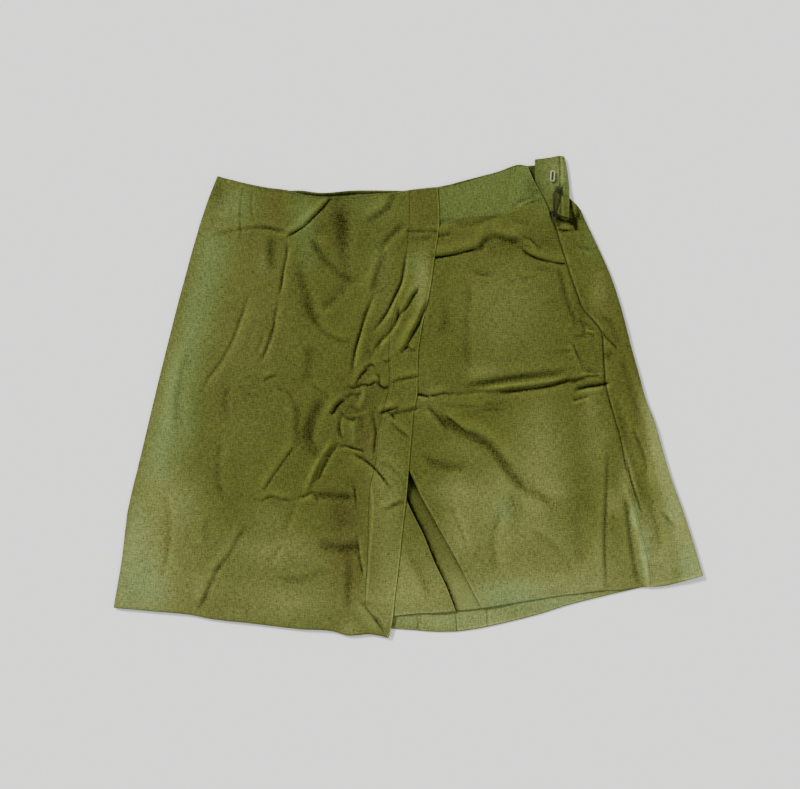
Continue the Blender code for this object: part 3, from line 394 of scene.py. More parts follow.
# %% Creases of the wrap panel and its band
WRAP_CREASES = creases_from(
    # the tuck that runs down from the waist, and the long line below it
    (2.8, 1.7, 1.5, 4, -1, 1, (-77, 199), (-84, 190), (-95, 179), (-104, 170), (-112, 165), (-126, 156)),
    (2.0, 1.6, 0.9, 5, 1, 0, (-120.5, 157), (-121, 142), (-124, 127), (-126, 112), (-129, 97)),
    (1.7, 1.8, 0.7, 5, 1, 0, (-128, 102), (-132, 82), (-135, 65), (-140, 50), (-148, 30)),
    (2.0, 3.6, 0.7, 6, -1, 1, (-15, 202), (-19, 190), (-30, 181), (-43, 173)),
    (2.2, 4.0, 0.9, 8, 1, 0, (-99, 160), (-88, 145), (-79, 133), (-66, 121), (-56, 115), (-48, 114)),
    (1.8, 7.0, 0.8, 8, 1, 0, (-109, 136), (-104, 114), (-99, 96), (-92, 80), (-82, 66)),
    (1.0, 2.0, 0.4, 4, 1, 1, (-194, 161), (-176, 165), (-159, 168), (-148, 169), (-132, 167), (-117, 165)),
    (1.5, 2.4, 0.5, 4, -1, 0, (-150, 169), (-138, 167.5), (-127, 165), (-115, 161)),
    (0.8, 1.6, 0.3, 3, 1, 1, (-155.5, 204), (-156, 190), (-155, 176)),
    (0.7, 1.6, 0.3, 3, -1, 1, (-165, 206), (-167, 188), (-167, 168), (-166, 150)),
    (1.8, 6.0, 0.4, 6, -1, 0, (-135, 162), (-136, 150), (-136, 138), (-133, 124)),
    # the hollow beyond the tuck, and the soft hanging folds below it
    (2.2, 9.0, 0.4, 8, 1, 0, (-72, 194), (-67, 180), (-64, 162), (-62, 142), (-58, 122), (-54, 106)),
    (1.3, 6.0, 0.3, 6, 1, 0, (-60, 112), (-68, 102), (-79, 92), (-88, 88)),
    (1.4, 3.4, 0.6, 5, 1, 0, (-104, 96), (-93, 76), (-82, 63), (-68, 55.5), (-50, 54)),
    (1.0, 2.2, 0.6, 4, 1, 0, (-144, 64), (-146, 54), (-152, 42)),
    (1.2, 6.0, 0.5, 7, -1, 0, (-99, 52), (-98, 30), (-103, 12)),
    # long drags beside the band
    (2.8, 1.8, 1.5, 4.5, 1, 0, (-33, 105), (-39, 90), (-44, 76), (-48, 62), (-52, 48), (-55, 30),
     (-55, 20)),
    (2.6, 1.8, 1.2, 4, 1, 0, (-2, 148), (-3.5, 130), (-7, 113), (-13, 100), (-22, 82), (-30, 71),
     (-39, 61)),
    (2.6, 2.1, 1.3, 4.5, -1, 0, (14, 112), (5, 100), (-2, 88), (-8, 82), (-10, 73)),
    (2.4, 2.2, 1.2, 4, 1, 0, (-8, 93), (-12, 74), (-21, 61), (-27, 55), (-31, 40)),
    (1.3, 1.4, 0.8, 3, 1, 0, (-21, 64), (-28, 56), (-33, 48), (-34, 38)),
    (2.8, 2.4, 1.6, 5, -1, 0, (24, 100), (17, 88), (11, 74), (4, 61), (-2, 50), (-11, 38)),
    (1.4, 1.4, 0.8, 3.5, -1, 0, (13, 78), (7, 68), (2, 61)),
    (1.8, 1.6, 0.5, 3, 1, 0, (-4, 47), (0, 50), (4, 47), (9, 46)),
    (1.4, 4.0, 0.9, 6, -1, 0, (-20, 150), (-27, 132), (-33, 112), (-36, 98)),
    (1.9, 4.0, 0.8, 5, 1, 0, (-1, 174), (-10, 166), (-20, 156), (-30, 142)),
    (1.6, 2.0, 0.4, 3, 1, 3, (0, 165.5), (8, 165), (18, 165.5), (29, 165)),
    (1.2, 3.5, 0.4, 4, 1, 0, (2, 156), (14, 157), (27, 160)),
)
print("creases from the waist to the fork:", len(WRAP_CREASES))

# %% Creases at the fork
# The crumple where everything meets.
WRAP_CREASES += creases_from(
    (1.8, 1.6, 0.8, 3, 1, 0, (-46, 31), (-41, 30), (-36, 32), (-31, 28)),
    (2.4, 1.8, 1.5, 3, -1, 0, (-37, 30), (-44, 25), (-49, 18), (-54, 10)),
    (2.2, 1.7, 0.9, 3.5, 1, 0, (-62, 10), (-54, 9), (-46, 12), (-37, 12), (-32, 15), (-28, 12)),
    (3.2, 2.2, 1.1, 4, 1, 0, (-31, 15), (-28, 12), (-24, 9), (-18, 9.5)),
    (1.7, 1.7, 0.8, 3, -1, 0, (-32, 24), (-28, 18), (-29, 12)),
    (1.5, 1.5, 0.6, 3, 1, 0, (-26, 36), (-20, 35), (-15, 38)),
    (1.4, 2.0, 0.5, 3.5, 1, 0, (-40, 48), (-37, 42), (-38, 34)),
    (1.8, 1.9, 0.8, 4, 1, 2, (-18, 13), (-8, 17), (2, 19), (9, 20)),
    (2.8, 2.0, 1.5, 4, 1, 0, (-30, -18), (-22, -14), (-14, -12), (-6, -10)),
    (2.2, 3.0, 1.0, 4, 1, 2, (-20, -20), (-10, -16), (-1, -14.5), (7, -12)),
    (1.6, 1.5, 0.8, 3, -1, 0, (-21, -14), (-16, -18), (-12, -24)),
    (1.8, 2.2, 0.8, 4, 1, 0, (-18, -24), (-10, -32), (-2, -38), (3, -43)),
    (3.4, 2.6, 1.2, 4, 1, 0, (-78, -20), (-74, -14), (-70, -8), (-66, -4.8), (-60, -2)),
    (1.6, 1.8, 0.7, 3, 1, 0, (-62, -2), (-56, 3), (-50, 2), (-44, 5)),
    (1.9, 2.0, 0.8, 4, -1, 0, (-68, -13), (-63, -20), (-56, -23), (-50, -22)),
    (1.2, 2.2, 0.4, 4, 1, 0, (-60, -8), (-52, -12), (-46, -16)),
    (-1.3, 1.3, 0, 1, 1, 0, (-58, -20), (-50, -18), (-41, -15.5), (-35, -11)),
    (-1.0, 1.2, 0, 1, 1, 0, (-39.8, -16), (-39.5, -22), (-39.5, -29)),
    (2.2, 2.2, 0.9, 3, 1, 0, (-66, -15), (-67.5, -24), (-68, -32), (-66, -39), (-61, -42)),
    (-1.7, 3.2, 0, 1, 1, 0, (-43.5, 12), (-44, 2), (-47, -8), (-51, -14)),
    (-1.4, 4.2, 0, 1, 1, 0, (-55, -25), (-54, -36), (-54, -49)),
    (1.2, 2.6, 0.3, 3, 1, 0, (-49, -20), (-45, -25), (-45, -33)),
    (2.0, 2.0, 0.4, 3, -1, 0, (-35, -12), (-33.5, -26), (-32, -34), (-33, -48), (-33.5, -64)),
    (2.4, 7.0, 0.8, 7, 1, 0, (-82, 4), (-88, -10), (-94, -24), (-98, -42), (-92, -56), (-80, -60)),
    (1.4, 2.0, 0.6, 4, 1, 0, (-96, 12), (-87, 6), (-81, 3), (-79, -6)),
    (1.3, 2.0, 0.6, 4, -1, 0, (-132, 9), (-124, 6), (-117, 2), (-114, -8)),
    (1.5, 1.8, 0.6, 3, 1, 0, (-145, 14), (-139, 19), (-133, 20.5), (-128, 20)),
    (1.6, 4.0, 0.6, 6, -1, 0, (-114, -2), (-110, -16), (-110, -34), (-108, -52)),
)
print("with those at the fork:", len(WRAP_CREASES))

# %% Creases below the fork
WRAP_CREASES += creases_from(
    (1.7, 1.5, 1.2, 4, -1, 0, (-110, -46), (-118, -56), (-129, -71), (-138, -84), (-146, -98)),
    (-2.8, 2.4, 0, 1, 1, 0, (-72, -38), (-80, -50), (-88, -61), (-96, -78), (-104, -98)),
    (2.2, 2.2, 0.3, 4, 1, 0, (-67, -44), (-77, -57), (-84, -70), (-92, -88)),
    (2.8, 1.9, 1.3, 4, -1, 0, (-58, -55), (-50, -59.5), (-43, -63.5), (-37, -68), (-32, -73), (-22, -85),
     (-15, -95)),
    (2.5, 1.5, 0.8, 3, -1, 0, (-69, -49.5), (-61, -49.3), (-55, -51.5), (-48, -53), (-41, -55.5)),
    (1.5, 2.0, 0.9, 4, 1, 0, (-154, -98), (-148, -104), (-138, -100), (-123, -103), (-108, -102)),
    (1.8, 2.0, 0.9, 4, -1, 0, (-112, -101), (-102, -99), (-96, -96), (-91, -101), (-90, -110)),
    (2.4, 4.5, 0.5, 7, -1, 0, (-94, -99), (-80, -99), (-66, -100), (-48, -102)),
    (0.8, 11.0, 0.2, 8, -1, 0, (-72, -96), (-66, -116), (-64, -134)),
    (1.0, 3.0, 0.5, 5, 1, 0, (-109, -103), (-115, -116), (-120, -128), (-122, -140)),
    (1.6, 1.6, 0.6, 3, -1, 0, (-54, -86), (-52.5, -98), (-51.5, -112)),
    (2.0, 1.8, 0.9, 4, 1, 0, (-51, -138), (-49.5, -150), (-47.5, -164), (-44, -182)),
    (2.6, 6.5, 0.5, 8, 1, 0, (-90, -146), (-74, -151), (-60, -152), (-46, -149)),
    (1.3, 5.0, 0.5, 6, -1, 0, (-60, -150), (-58, -176), (-59, -204), (-60, -222)),
    (0.9, 5.0, 0.4, 6, 1, 0, (-138, -178), (-112, -184), (-86, -176), (-72, -172)),
    (1.5, 2.6, 0.8, 6, -1, 0, (-160, -128), (-170, -143), (-178, -158), (-187, -169), (-196, -184)),
    (1.9, 3.0, 0.9, 5, -1, 0, (-190, -176), (-197, -187), (-203, -202), (-212, -214)),
    (1.0, 2.2, 0.5, 4, 1, 0, (-125, -147), (-131, -157), (-139, -168)),
    (1.4, 2.4, 0.8, 6, 1, 0, (-157, 106), (-163, 88), (-168, 74), (-177, 51), (-187, 34), (-200, 16),
     (-206, 0)),
    (1.0, 4.0, 0.5, 7, 1, 0, (-185, -40), (-188, -62), (-188, -86), (-182, -104)),
    (1.0, 5.0, 0.6, 8, -1, 0, (-214, 60), (-224, 26), (-230, -10), (-228, -44)),
    (1.0, 4.0, 0.3, 5, 1, 0, (-176, 12), (-181, 0), (-180, -14), (-176, -26)),
    (0.8, 4.0, 0.3, 5, -1, 0, (-198, -118), (-202, -136), (-200, -150)),
    (0.9, 4.0, 0.5, 7, 1, 0, (-244, -90), (-238, -122), (-240, -156), (-248, -188)),
    (1.9, 2.4, 0.7, 4, 1, 0, (-24, -114), (-17, -110), (-10, -107), (-1, -105)),
    (1.0, 3.0, 0.5, 5, 1, 0, (-30, -64), (-18, -70), (-8, -80), (-2, -92)),
    (0.9, 1.8, 0.5, 3, 1, 0, (-48, -206), (-38, -207.5), (-26, -208), (-16, -209)),
    # the corner's mitre: sharp line, cloth raised below it
    (1.8, 2.0, 1.4, 5, -1, 0, (-48, -203), (-40, -213), (-31, -224), (-21, -238)),
    (-1.0, 1.8, 0, 1, 1, 0, (-35, -212), (-27, -221), (-19, -232)),
)
print("with those below the fork:", len(WRAP_CREASES))

# %% Creases of the underside and hollows beside the tab
# The photograph does not show the underside: creases of the same kind, softer. The cloth rests on the surface
# there, so each crease is a hollow that opens downwards.
BACK_CREASES = creases_from(
    (1.6, 4.0, 0, 1, 1, 0, (-150, 120), (-138, 84), (-132, 44), (-140, 8)),
    (1.4, 3.2, 0, 1, 1, 0, (-96, 150), (-84, 118), (-66, 92), (-42, 78)),
    (1.8, 4.2, 0, 1, -1, 0, (-212, 30), (-186, 6), (-158, -6), (-120, -4), (-84, 6)),
    (1.3, 3.4, 0, 1, 1, 0, (-70, 24), (-58, -14), (-52, -52), (-60, -96)),
    (1.7, 4.6, 0, 1, -1, 0, (-176, -60), (-168, -100), (-174, -142), (-190, -176)),
    (1.2, 3.0, 0, 1, 1, 0, (-110, -92), (-96, -128), (-90, -160)),
    (1.5, 4.0, 0, 1, 1, 0, (24, 140), (44, 118), (72, 106), (108, 104)),
    (1.8, 4.4, 0, 1, -1, 0, (12, 34), (48, 22), (92, 18), (140, 26), (186, 30)),
    (1.3, 3.2, 0, 1, 1, 0, (150, 150), (156, 112), (166, 78), (180, 50)),
    (1.6, 4.2, 0, 1, 1, 0, (66, -30), (90, -62), (106, -98), (112, -136)),
    (1.4, 3.6, 0, 1, -1, 0, (186, -20), (190, -66), (200, -112), (206, -150)),
    (1.2, 3.0, 0, 1, 1, 0, (36, -64), (52, -88), (74, -104)),
    # the darts at the back waist
    (1.9, 1.5, 0, 1, 1, 1, (-84, 200), (-82, 170), (-80, 128)),
    (1.9, 1.5, 0, 1, 1, 1, (72, 214), (70, 182), (66, 134)),
)
# The deep folds beside and below the waist tab, which lie in their own shadow: run, width, how dark.
TAB_HOLLOWS = [
    (spots((162.5, 201), (163.5, 192), (165, 182), (166, 177)), 1.4, 1.8),
    (spots((169, 197), (170.5, 187), (170, 178)), 2.6, 1.1),
    (spots((166.5, 178), (168.5, 168)), 2.0, 1.9),
    (spots((150.5, 178.5), (157, 175.8), (165, 174)), 2.1, 2.1),
    (spots((151, 168.5), (157, 166.5), (164, 167.5)), 1.5, 1.1),
]
print("creases placed by hand:", len(FRONT_CREASES + RETURN_CREASES + WRAP_CREASES + BACK_CREASES))


# %% Adding the creases up
TAPER = 0.22                # share of its length over which a crease weakens to nothing
REACH = 2.8                 # a crease is worked out this many widths away from its path


def near_path(path, reach, across, up):
    """Which points lie within reach of the box round a path."""
    low, high = np.min(path, axis=0) - reach, np.max(path, axis=0) + reach
    return (across > low[0]) & (across < high[0]) & (up > low[1]) & (up < high[1])


def taper(share, ends, length):
    """0 at the ends of a path, smoothly up to 1 within a share of its length; 1 at an end that runs on."""
    start = 1.0 if ends in (1, 3) else smooth(share / length)
    finish = 1.0 if ends in (2, 3) else smooth((1 - share) / length)
    return start * finish


def crease_relief(across, up, creases):
    """Sum over creases of ridge exp(-((d - 0.9 b)/b)^2) less trough exp(-(d/s)^2), each times its taper."""
    height = np.zeros_like(across)
    for number, crease in enumerate(creases):
        reach = REACH * max(crease.sharp, 1.9 * crease.broad * (crease.lift > 0))
        near = near_path(crease.path, reach, across, up)
        if not near.any():
            continue
        signed, share = distance_along(along([crease.path], even(24)), across[near], up[near])
        uneven = 1 + 0.22 * np.sin(7.3 * share + 1.7 * number) + 0.1 * np.sin(19 * share + 2.9 * number)
        trough = crease.depth * fade(signed, 0.8 * crease.sharp)
        ridge = crease.lift * fade(crease.side * signed - 0.9 * crease.broad, crease.broad)
        height[near] += taper(share, crease.ends, TAPER) * uneven * (ridge - trough)
    return height


hip = crease_relief(np.array([104.0]), np.array([5.5]), FRONT_CREASES)
print("the fold at the hip is", -float(hip[0].round(1)), "mm deep")


# %% Groove of the seam, and low waves
SEAM_GROOVE = 0.45          # depth of the groove along the side seam
GROOVE_WIDTH = 1.1


def seam_groove(across, up):
    """Groove of the side seam, which fades below the thigh, where the seam is pressed into a pleat."""
    sunk = fade(apart(SIDE_SEAM, across, up), GROOVE_WIDTH)
    return SEAM_GROOVE * sunk * smooth((up + 95) / 40)


WAVES = [(0.26, 12.5, 0, 17.0, 0), (0.12, 5.6, 1, 7.1, 2), (0.07, 2.9, 2, 3.7, 0)]


def handling(across, up):
    """Very low waves that no pressed cloth is without: products of sines of bent coordinates."""
    bent_across = across + 9 * np.sin(up / 31.0) + 4 * np.sin(up / 13.0 + 1)
    bent_up = up + 8 * np.sin(across / 27.0) + 3 * np.sin(across / 11.0 + 2)
    return sum(high * np.sin(bent_across / wide + shift) * np.sin(bent_up / tall + lift)
               for high, wide, shift, tall, lift in WAVES)


print("waves reach", sum(wave[0] for wave in WAVES), "mm at most")


# %% The relief of the upper layer
FACING_DEPTH = 35.0
LEVEL_RUN = 28.0            # a panel steps up or down over this length
EDGE_REST = 26.0            # from this far inside the outline, swells die out towards it
LOFT = 0.9                  # air under a layer that nothing presses down
DIP_LIMIT = 0.3             # how far a crease may sink below its layer before it meets the one below
LEG_MARGIN = 12.0           # the front lies on the inside leg as far as this beyond its edges
REST_EDGES = [WRAP_SIDE, WRAP_HEM, BACK_HEM_LEFT, OUTLINE_LEFT, WRAP_WAIST, BAND_WAIST, FRONT_WAIST_LEFT]


def to_outline(across, up):
    """Distance to the nearest edge of the whole garment."""
    return np.min([apart(run, across, up) for run in REST_EDGES], axis=0)


def held_above(height, floor):
    """The height, bent smoothly so that it never drops below the floor."""
    return floor + np.logaddexp(0, (height - floor) * 3.0) / 3.0


def heaped(mounds, across, up):
    """Sum of amount exp(-(x/wide)^2 - (y/tall)^2) over mounds."""
    total = np.zeros_like(across)
    for mound in mounds:
        total += mound.amount * np.exp(-((across - mound.across) / mound.wide)**2
                                       - ((up - mound.up) / mound.tall)**2)
    return total


def relief(across, up, creases):
    """Swells that die out at the outline, plus creases and handling, held above the layer below."""
    swell = heaped(SWELLS, across, up)
    nearest = to_outline(across, up)
    rest = smooth(nearest / EDGE_REST)
    fine = (creases + handling(across, up)) * smooth(0.35 + nearest / 6)
    return held_above((swell + LOFT) * rest + fine, -DIP_LIMIT)


def tab_distance(across, up):
    """Distance outside the rectangle of the waist tab."""
    beyond = np.maximum(np.maximum(TAB_INNER[0].across - across, across - TAB_OUTER[-1].across), 0)
    below = np.maximum(TAB_OUTER[-1].up - up, 0)
    return np.hypot(beyond, below)


def front_level(across, up):
    """Middle of the shorts' front where it lies flat on the facing, the inner leg and the waist tab."""
    at_waist = 1 - smooth((waist_at(across) - up - FACING_DEPTH - 3) / LEVEL_RUN)
    outside = np.maximum(edge_at(INNER_LEG_RIGHT, up) - across, across - edge_at(INNER_LEG_LEFT, up))
    above = np.maximum(up - GORE_TOP[0].up - 4, 0)
    at_legs = 1 - smooth(np.hypot(np.maximum(outside - LEG_MARGIN, 0), above) / LEVEL_RUN)
    level = FIRST_MID + LAYER * np.maximum(at_waist, at_legs)
    return level + (OVER_TAB_MID - FIRST_MID - LAYER) * (1 - smooth(tab_distance(across, up) / LEVEL_RUN))


print("the front's level over the inside leg and beside it:",
      front_level(np.array([20.0, 120.0]), np.array([-100.0, 0.0])).round(2).tolist())


# %% Height of each upper piece
SIDE_ROLL = 7.0             # how wide the roll at the wrap's side is
PUSHED_UP = 0.8             # share of the front's ridges that shows through the wrap
SIDE_FULLNESS = 2.6         # extra height of the left back where it turns round the side
FULLNESS_RUN = 40.0         # and how far in that reaches
HOLLOW_DEPTH = 0.3          # how far a hollow of the underside rises from the surface at most


def front_height(across, up):
    """Middle of the shorts' front: flat under the wrap, in folds where it shows."""
    shows = smooth((across - edge_at(BAND_FREE, up) + 11) / 9)
    creases = crease_relief(across, up, WRAP_CREASES) + shows * crease_relief(across, up, FRONT_CREASES)
    return front_level(across, up) + shows * relief(across, up, creases)


def wrap_height(across, up):
    """Middle of the wrap: one layer higher than the front, rolled down to the side in a quarter circle."""
    pushed = PUSHED_UP * np.clip(crease_relief(across, up, FRONT_CREASES), 0, None)
    creases = crease_relief(across, up, WRAP_CREASES) + pushed
    high = front_level(across, up) + LAYER + relief(across, up, creases)
    inside = np.clip((across - edge_at(WRAP_SIDE, up)) / SIDE_ROLL, 0, 1)
    return FIRST_MID + (high - FIRST_MID) * np.sqrt(1 - (1 - inside)**2)


def return_height(across, up):
    """Middle of the left back where it lies on top: flat under the tab, full beside the outline."""
    clear_of_tab = smooth((tab_distance(across, up) - 1) / 14)
    from_outline = apart(OUTLINE_LEFT, across, up)
    fullness = SIDE_FULLNESS * (1 - smooth(from_outline / FULLNESS_RUN))
    creases = crease_relief(across, up, FRONT_CREASES + RETURN_CREASES)
    return FIRST_MID + clear_of_tab * (fullness + relief(across, up, creases))


def back_height(across, up):
    """Middle of a back: flat, with hollows that open downwards, by HOLLOW_DEPTH tanh(depth of creases)."""
    return BACK_MID + HOLLOW_DEPTH * np.tanh(np.clip(-crease_relief(across, up, BACK_CREASES), 0, None))


probe = wrap_height(np.array([-120.0, -30.0]), np.array([60.0, 20.0]))
print("wrap stands", probe.round(2).tolist(), "mm high at its fullest places")

# %% [markdown]
# ## Colour over the cloth
# The olive is not even. The middle of the garment is a deep olive, the hems and the lower half are paler
# khaki, and the left edge, the waistband and the tab are grey-green. Soft patches, each an ellipse that
# fades outwards, say how much of each tone a place has. Other patches are painted shade where the cloth lies
# in shadow, and the left outline gets a painted highlight. They are kept as numbers on the cloth's points,
# and the material mixes its colours by them.

# %% Patches of tone
PALE_PATCHES = mounds_from(
    (0.20, -165, 60, 50, 130), (0.65, -262, -185, 48, 48), (0.35, -150, -205, 90, 26),
    (0.80, 125, -196, 80, 24), (0.50, 100, -128, 52, 46), (0.55, 132, -62, 25, 52), (0.30, 98, 85, 40, 50),
    (0.40, -22, -100, 18, 60), (0.40, -8, -205, 40, 22), (0.15, -22, 110, 10, 45),
    (0.35, 186, -170, 40, 40), (0.20, -118, -205, 20, 12), (0.25, 84, -100, 24, 30),
    (0.25, 20, -190, 20, 26), (0.55, -228, -108, 26, 36), (0.45, -132, -152, 50, 18),
    (0.40, 46, -92, 24, 13), (0.40, 50, -125, 15, 30), (0.60, 225, -118, 5, 16), (0.65, 236, -155, 6, 20),
    (0.90, 243, -182, 5, 10), (0.70, 252, -172, 14, 20), (0.40, 244, -128, 12, 26), (0.35, 219, -84, 8, 20),
    (0.30, 188, -48, 14, 34), (1.00, 54, -224, 54, 11), (0.60, 14, 118, 8, 26), (0.35, 192, 108, 9, 20),
    (0.60, 151, 227, 14, 15), (0.10, 20, -12, 8, 14), (0.30, 72, 27, 16, 8), (0.35, 147, -93, 14, 11),
    (0.50, 205, -104, 9, 15), (0.45, -58, -232, 9, 8), (0.30, -68, -172, 14, 16),
    (0.25, -138, -120, 20, 14), (0.30, 56, -146, 12, 14), (0.30, 182, -10, 8, 18),
    (0.35, -10, -176, 20, 26), (0.40, 231, -134, 8, 18), (0.45, 256, -162, 10, 22), (0.18, 60, -54, 32, 16),
    (0.14, 18, 8, 20, 28), (0.20, 218, -66, 10, 24),
)
GREEN_PATCHES = mounds_from(
    (0.60, -44, 0, 4, 10), (0.30, -56, -34, 6, 8), (0.90, -172, 191, 20, 17), (0.85, -105, 181, 13, 24),
    (0.60, -99, 145, 10, 20), (0.80, 60, -224, 46, 9), (0.45, 6, 128, 8, 18), (0.50, -146, 134, 7, 10),
    (0.45, -40, 190, 30, 16), (0.95, 144, 215, 24, 30), (0.60, 183, 156, 9, 16), (0.95, 94, -204, 34, 12),
    (0.90, 150, -206, 40, 10), (0.85, 94, -113, 9, 12), (0.90, 225, -118, 6, 18), (0.90, 237, -156, 7, 24),
    (0.50, 263, -114, 8, 14), (0.90, 282, -166, 14, 18), (0.60, -203, 158, 9, 16), (0.60, -219, -28, 8, 24),
    (0.60, -272, -126, 10, 22), (0.50, -252, -198, 14, 9), (0.60, 104, -190, 24, 7),
    (0.95, -272, -182, 22, 34), (0.40, -222, -110, 10, 14), (0.50, -4, -226, 12, 9),
    (0.30, -30, 130, 10, 30), (0.35, -60, 140, 8, 24),
)
BROWN_PATCHES = mounds_from(
    (0.85, 16, 188, 14, 22), (0.55, -68, 165, 11, 34), (1.00, -65, -118, 21, 38), (1.00, -62, -174, 17, 28),
    (0.45, -54, 10, 18, 12), (0.60, -42, -44, 11, 18), (0.45, -98, -34, 9, 14), (0.35, -113, 8, 9, 12),
    (0.45, -183, -4, 10, 14), (0.60, -133, 186, 9, 16), (0.50, -42, -20, 14, 44), (0.30, 90, 156, 50, 12),
    (0.40, 206, 90, 16, 60), (0.40, 228, 0, 12, 70), (0.30, 12, -116, 10, 12), (0.35, -190, -205, 40, 12),
    (0.25, -150, 90, 30, 80),
)
# Painted shade: patches where the cloth lies in the shadow of folds, hollows and the layers above.
PAINTED_SHADE_PATCHES = mounds_from(
    (0.45, -68, 184, 17, 18), (0.30, -78, 202, 30, 6), (0.30, -103, 97, 12, 36), (0.20, -64, -112, 20, 20),
    (0.50, 166, 183, 9, 14), (0.40, 130, 153, 34, 9), (0.35, 152, 196, 12, 13), (0.80, -191, 206, 9, 16),
    (0.32, -86, 165, 9, 10), (0.25, -133, 57, 8, 12), (0.45, 72, 122, 9, 8), (0.25, -18, 112, 8, 8),
    (0.35, 57, -18, 16, 7), (0.60, 106, -108, 8, 18), (0.45, 172, 84, 8, 24), (0.22, 152, 13, 52, 7),
    (0.40, -48, 0, 22, 34), (0.25, -160, 8, 40, 26), (0.30, 88, 149, 40, 7), (0.15, -98, -34, 16, 26),
    (0.15, 38, -68, 20, 7), (0.30, 86, -8, 14, 7), (0.35, -28, 112, 8, 22), (0.30, -43, 68, 6, 22),
    (0.65, 124, 208, 10, 12), (0.12, 214, -46, 7, 30), (0.40, 199, 41, 6, 7), (0.50, -31, -223, 5, 8),
    (0.80, 4, -84, 6, 14), (0.20, 36, 77, 14, 16), (0.18, -82, 150, 26, 18),
)


# How strongly the hem, the wrap's side and the left edge differ in tone from the middle, and how much painted
# highlight the left outline gets.
PALE_HEM, PALE_SIDE, PALE_SIDE_BELOW, PALE_LEFT = 0.20, 0.22, 0.43, 2.2
GREEN_SIDE, BROWN_SIDE_EDGE, BROWN_SIDE_BAND, PAINTED_LIGHT_LEFT = 0.95, 0.35, 0.12, 0.5


def patches(mounds, across, up):
    """Sum of the patches, held between 0 and 1."""
    return np.clip(heaped(mounds, across, up), 0, 1)


def tones(across, up):
    """How pale, green and brown the dye is, and how much painted shade a place has. Both side edges are paler
    towards the hem, and the left outline gets a painted highlight.
    """
    from_side = np.clip(across - edge_at(WRAP_SIDE, up), 0, None)
    from_left = np.clip(edge_at(OUTLINE_LEFT, up) - across, 0, None)
    lower = smooth((150 - up) / 320)
    pale = patches(PALE_PATCHES, across, up) + PALE_HEM * smooth((-up - 90) / 120)
    pale += (PALE_SIDE + PALE_SIDE_BELOW * lower) * fade(from_side - 14, 26)
    outer = smooth((34 - up) / 100) * fade(from_left, 4 + 13 * lower)
    pale += PALE_LEFT * outer
    green = patches(GREEN_PATCHES, across, up)
    green += GREEN_SIDE * fade(from_side - 22, 17) * smooth((172 - up) / 30) * smooth((up + 110) / 60)
    brown = patches(BROWN_PATCHES, across, up) + BROWN_SIDE_EDGE * fade(from_side, 4)
    brown += BROWN_SIDE_BAND * fade(from_side - 58, 14)
    # Painted shade from the patches, less a painted highlight along the left outline.
    painted_shade = patches(PAINTED_SHADE_PATCHES, across, up) - PAINTED_LIGHT_LEFT * outer
    return [*(np.clip(tone, 0, 1) for tone in (pale, green, brown)), painted_shade]


left_edge_tones = tones(np.array([-240.0]), np.array([0.0]))
print("pale, green, brown and shady at the left edge:", [float(tone[0].round(2)) for tone in left_edge_tones])

# %% [markdown]
# ## Making a sheet of cloth
# A grid of points becomes a mesh in one go. The Solidify modifier then gives it a wall, half on each side.
# Each sheet carries a UV map in metres along its threads, so that the weave follows the cloth, and point
# values for tone, for painted shade that grows with how deep in a crease a point lies, for how far it is from
# a fold's painted shade line, and for how near it is to an edge, which gets a pale line (wear and painted
# highlight) or a painted shade line.


# %% From a lattice to a mesh
def grid_faces(rows, columns, kept=None):
    """Corner numbers of the quads of a grid of points, wound so that they face up."""
    numbers = np.arange(rows * columns).reshape(rows, columns)
    quads = np.stack([numbers[:-1, :-1], numbers[1:, :-1], numbers[1:, 1:], numbers[:-1, 1:]], axis=-1)
    if kept is not None:
        quads = quads[kept]
    return quads.reshape(-1, 4)


def mesh_from(name, points, faces):
    """A mesh of metres from points in millimetres and rows of corner numbers."""
    mesh = bpy.data.meshes.new(name)
    used = np.unique(faces)
    renumber = np.zeros(len(points), int)
    renumber[used] = np.arange(len(used))
    mesh.from_pydata((points[used] * MM).tolist(), [], renumber[faces].tolist())
    mesh.shade_smooth()
    return mesh, used


def put_in_scene(name, data):
    """A new object at the origin that holds the data."""
    made = bpy.data.objects.new(name, data)
    bpy.context.scene.collection.objects.link(made)
    return made


def keep_values(mesh, name, values):
    """Store one number for each point of the mesh."""
    mesh.attributes.new(name, "FLOAT", "POINT").data.foreach_set("value", values.astype(np.float32))


def keep_weave(mesh, threads):
    """Store where each corner lies along and across the threads, in metres."""
    corners = np.zeros(len(mesh.loops), int)
    mesh.loops.foreach_get("vertex_index", corners)
    mesh.uv_layers.new(name="weave").data.foreach_set("uv", threads[corners].astype(np.float32).ravel())


print("a grid of 3 x 4 points has", len(grid_faces(3, 4)), "faces")


# %% Distances to fold lines and edges
# A fold's dark line (painted shade) and an edge's pale line (wear and painted highlight, or painted shade
# where dark) are under a millimetre wide, finer than the lattice. So a point keeps its distance to the line
# instead of a colour. Distances blend evenly from point to point, and the material turns them into a crisp
# line.
FAR = 12.0                  # kept where no line is near
LINE_REACH = 6.0            # a line is worked out this far away from its path


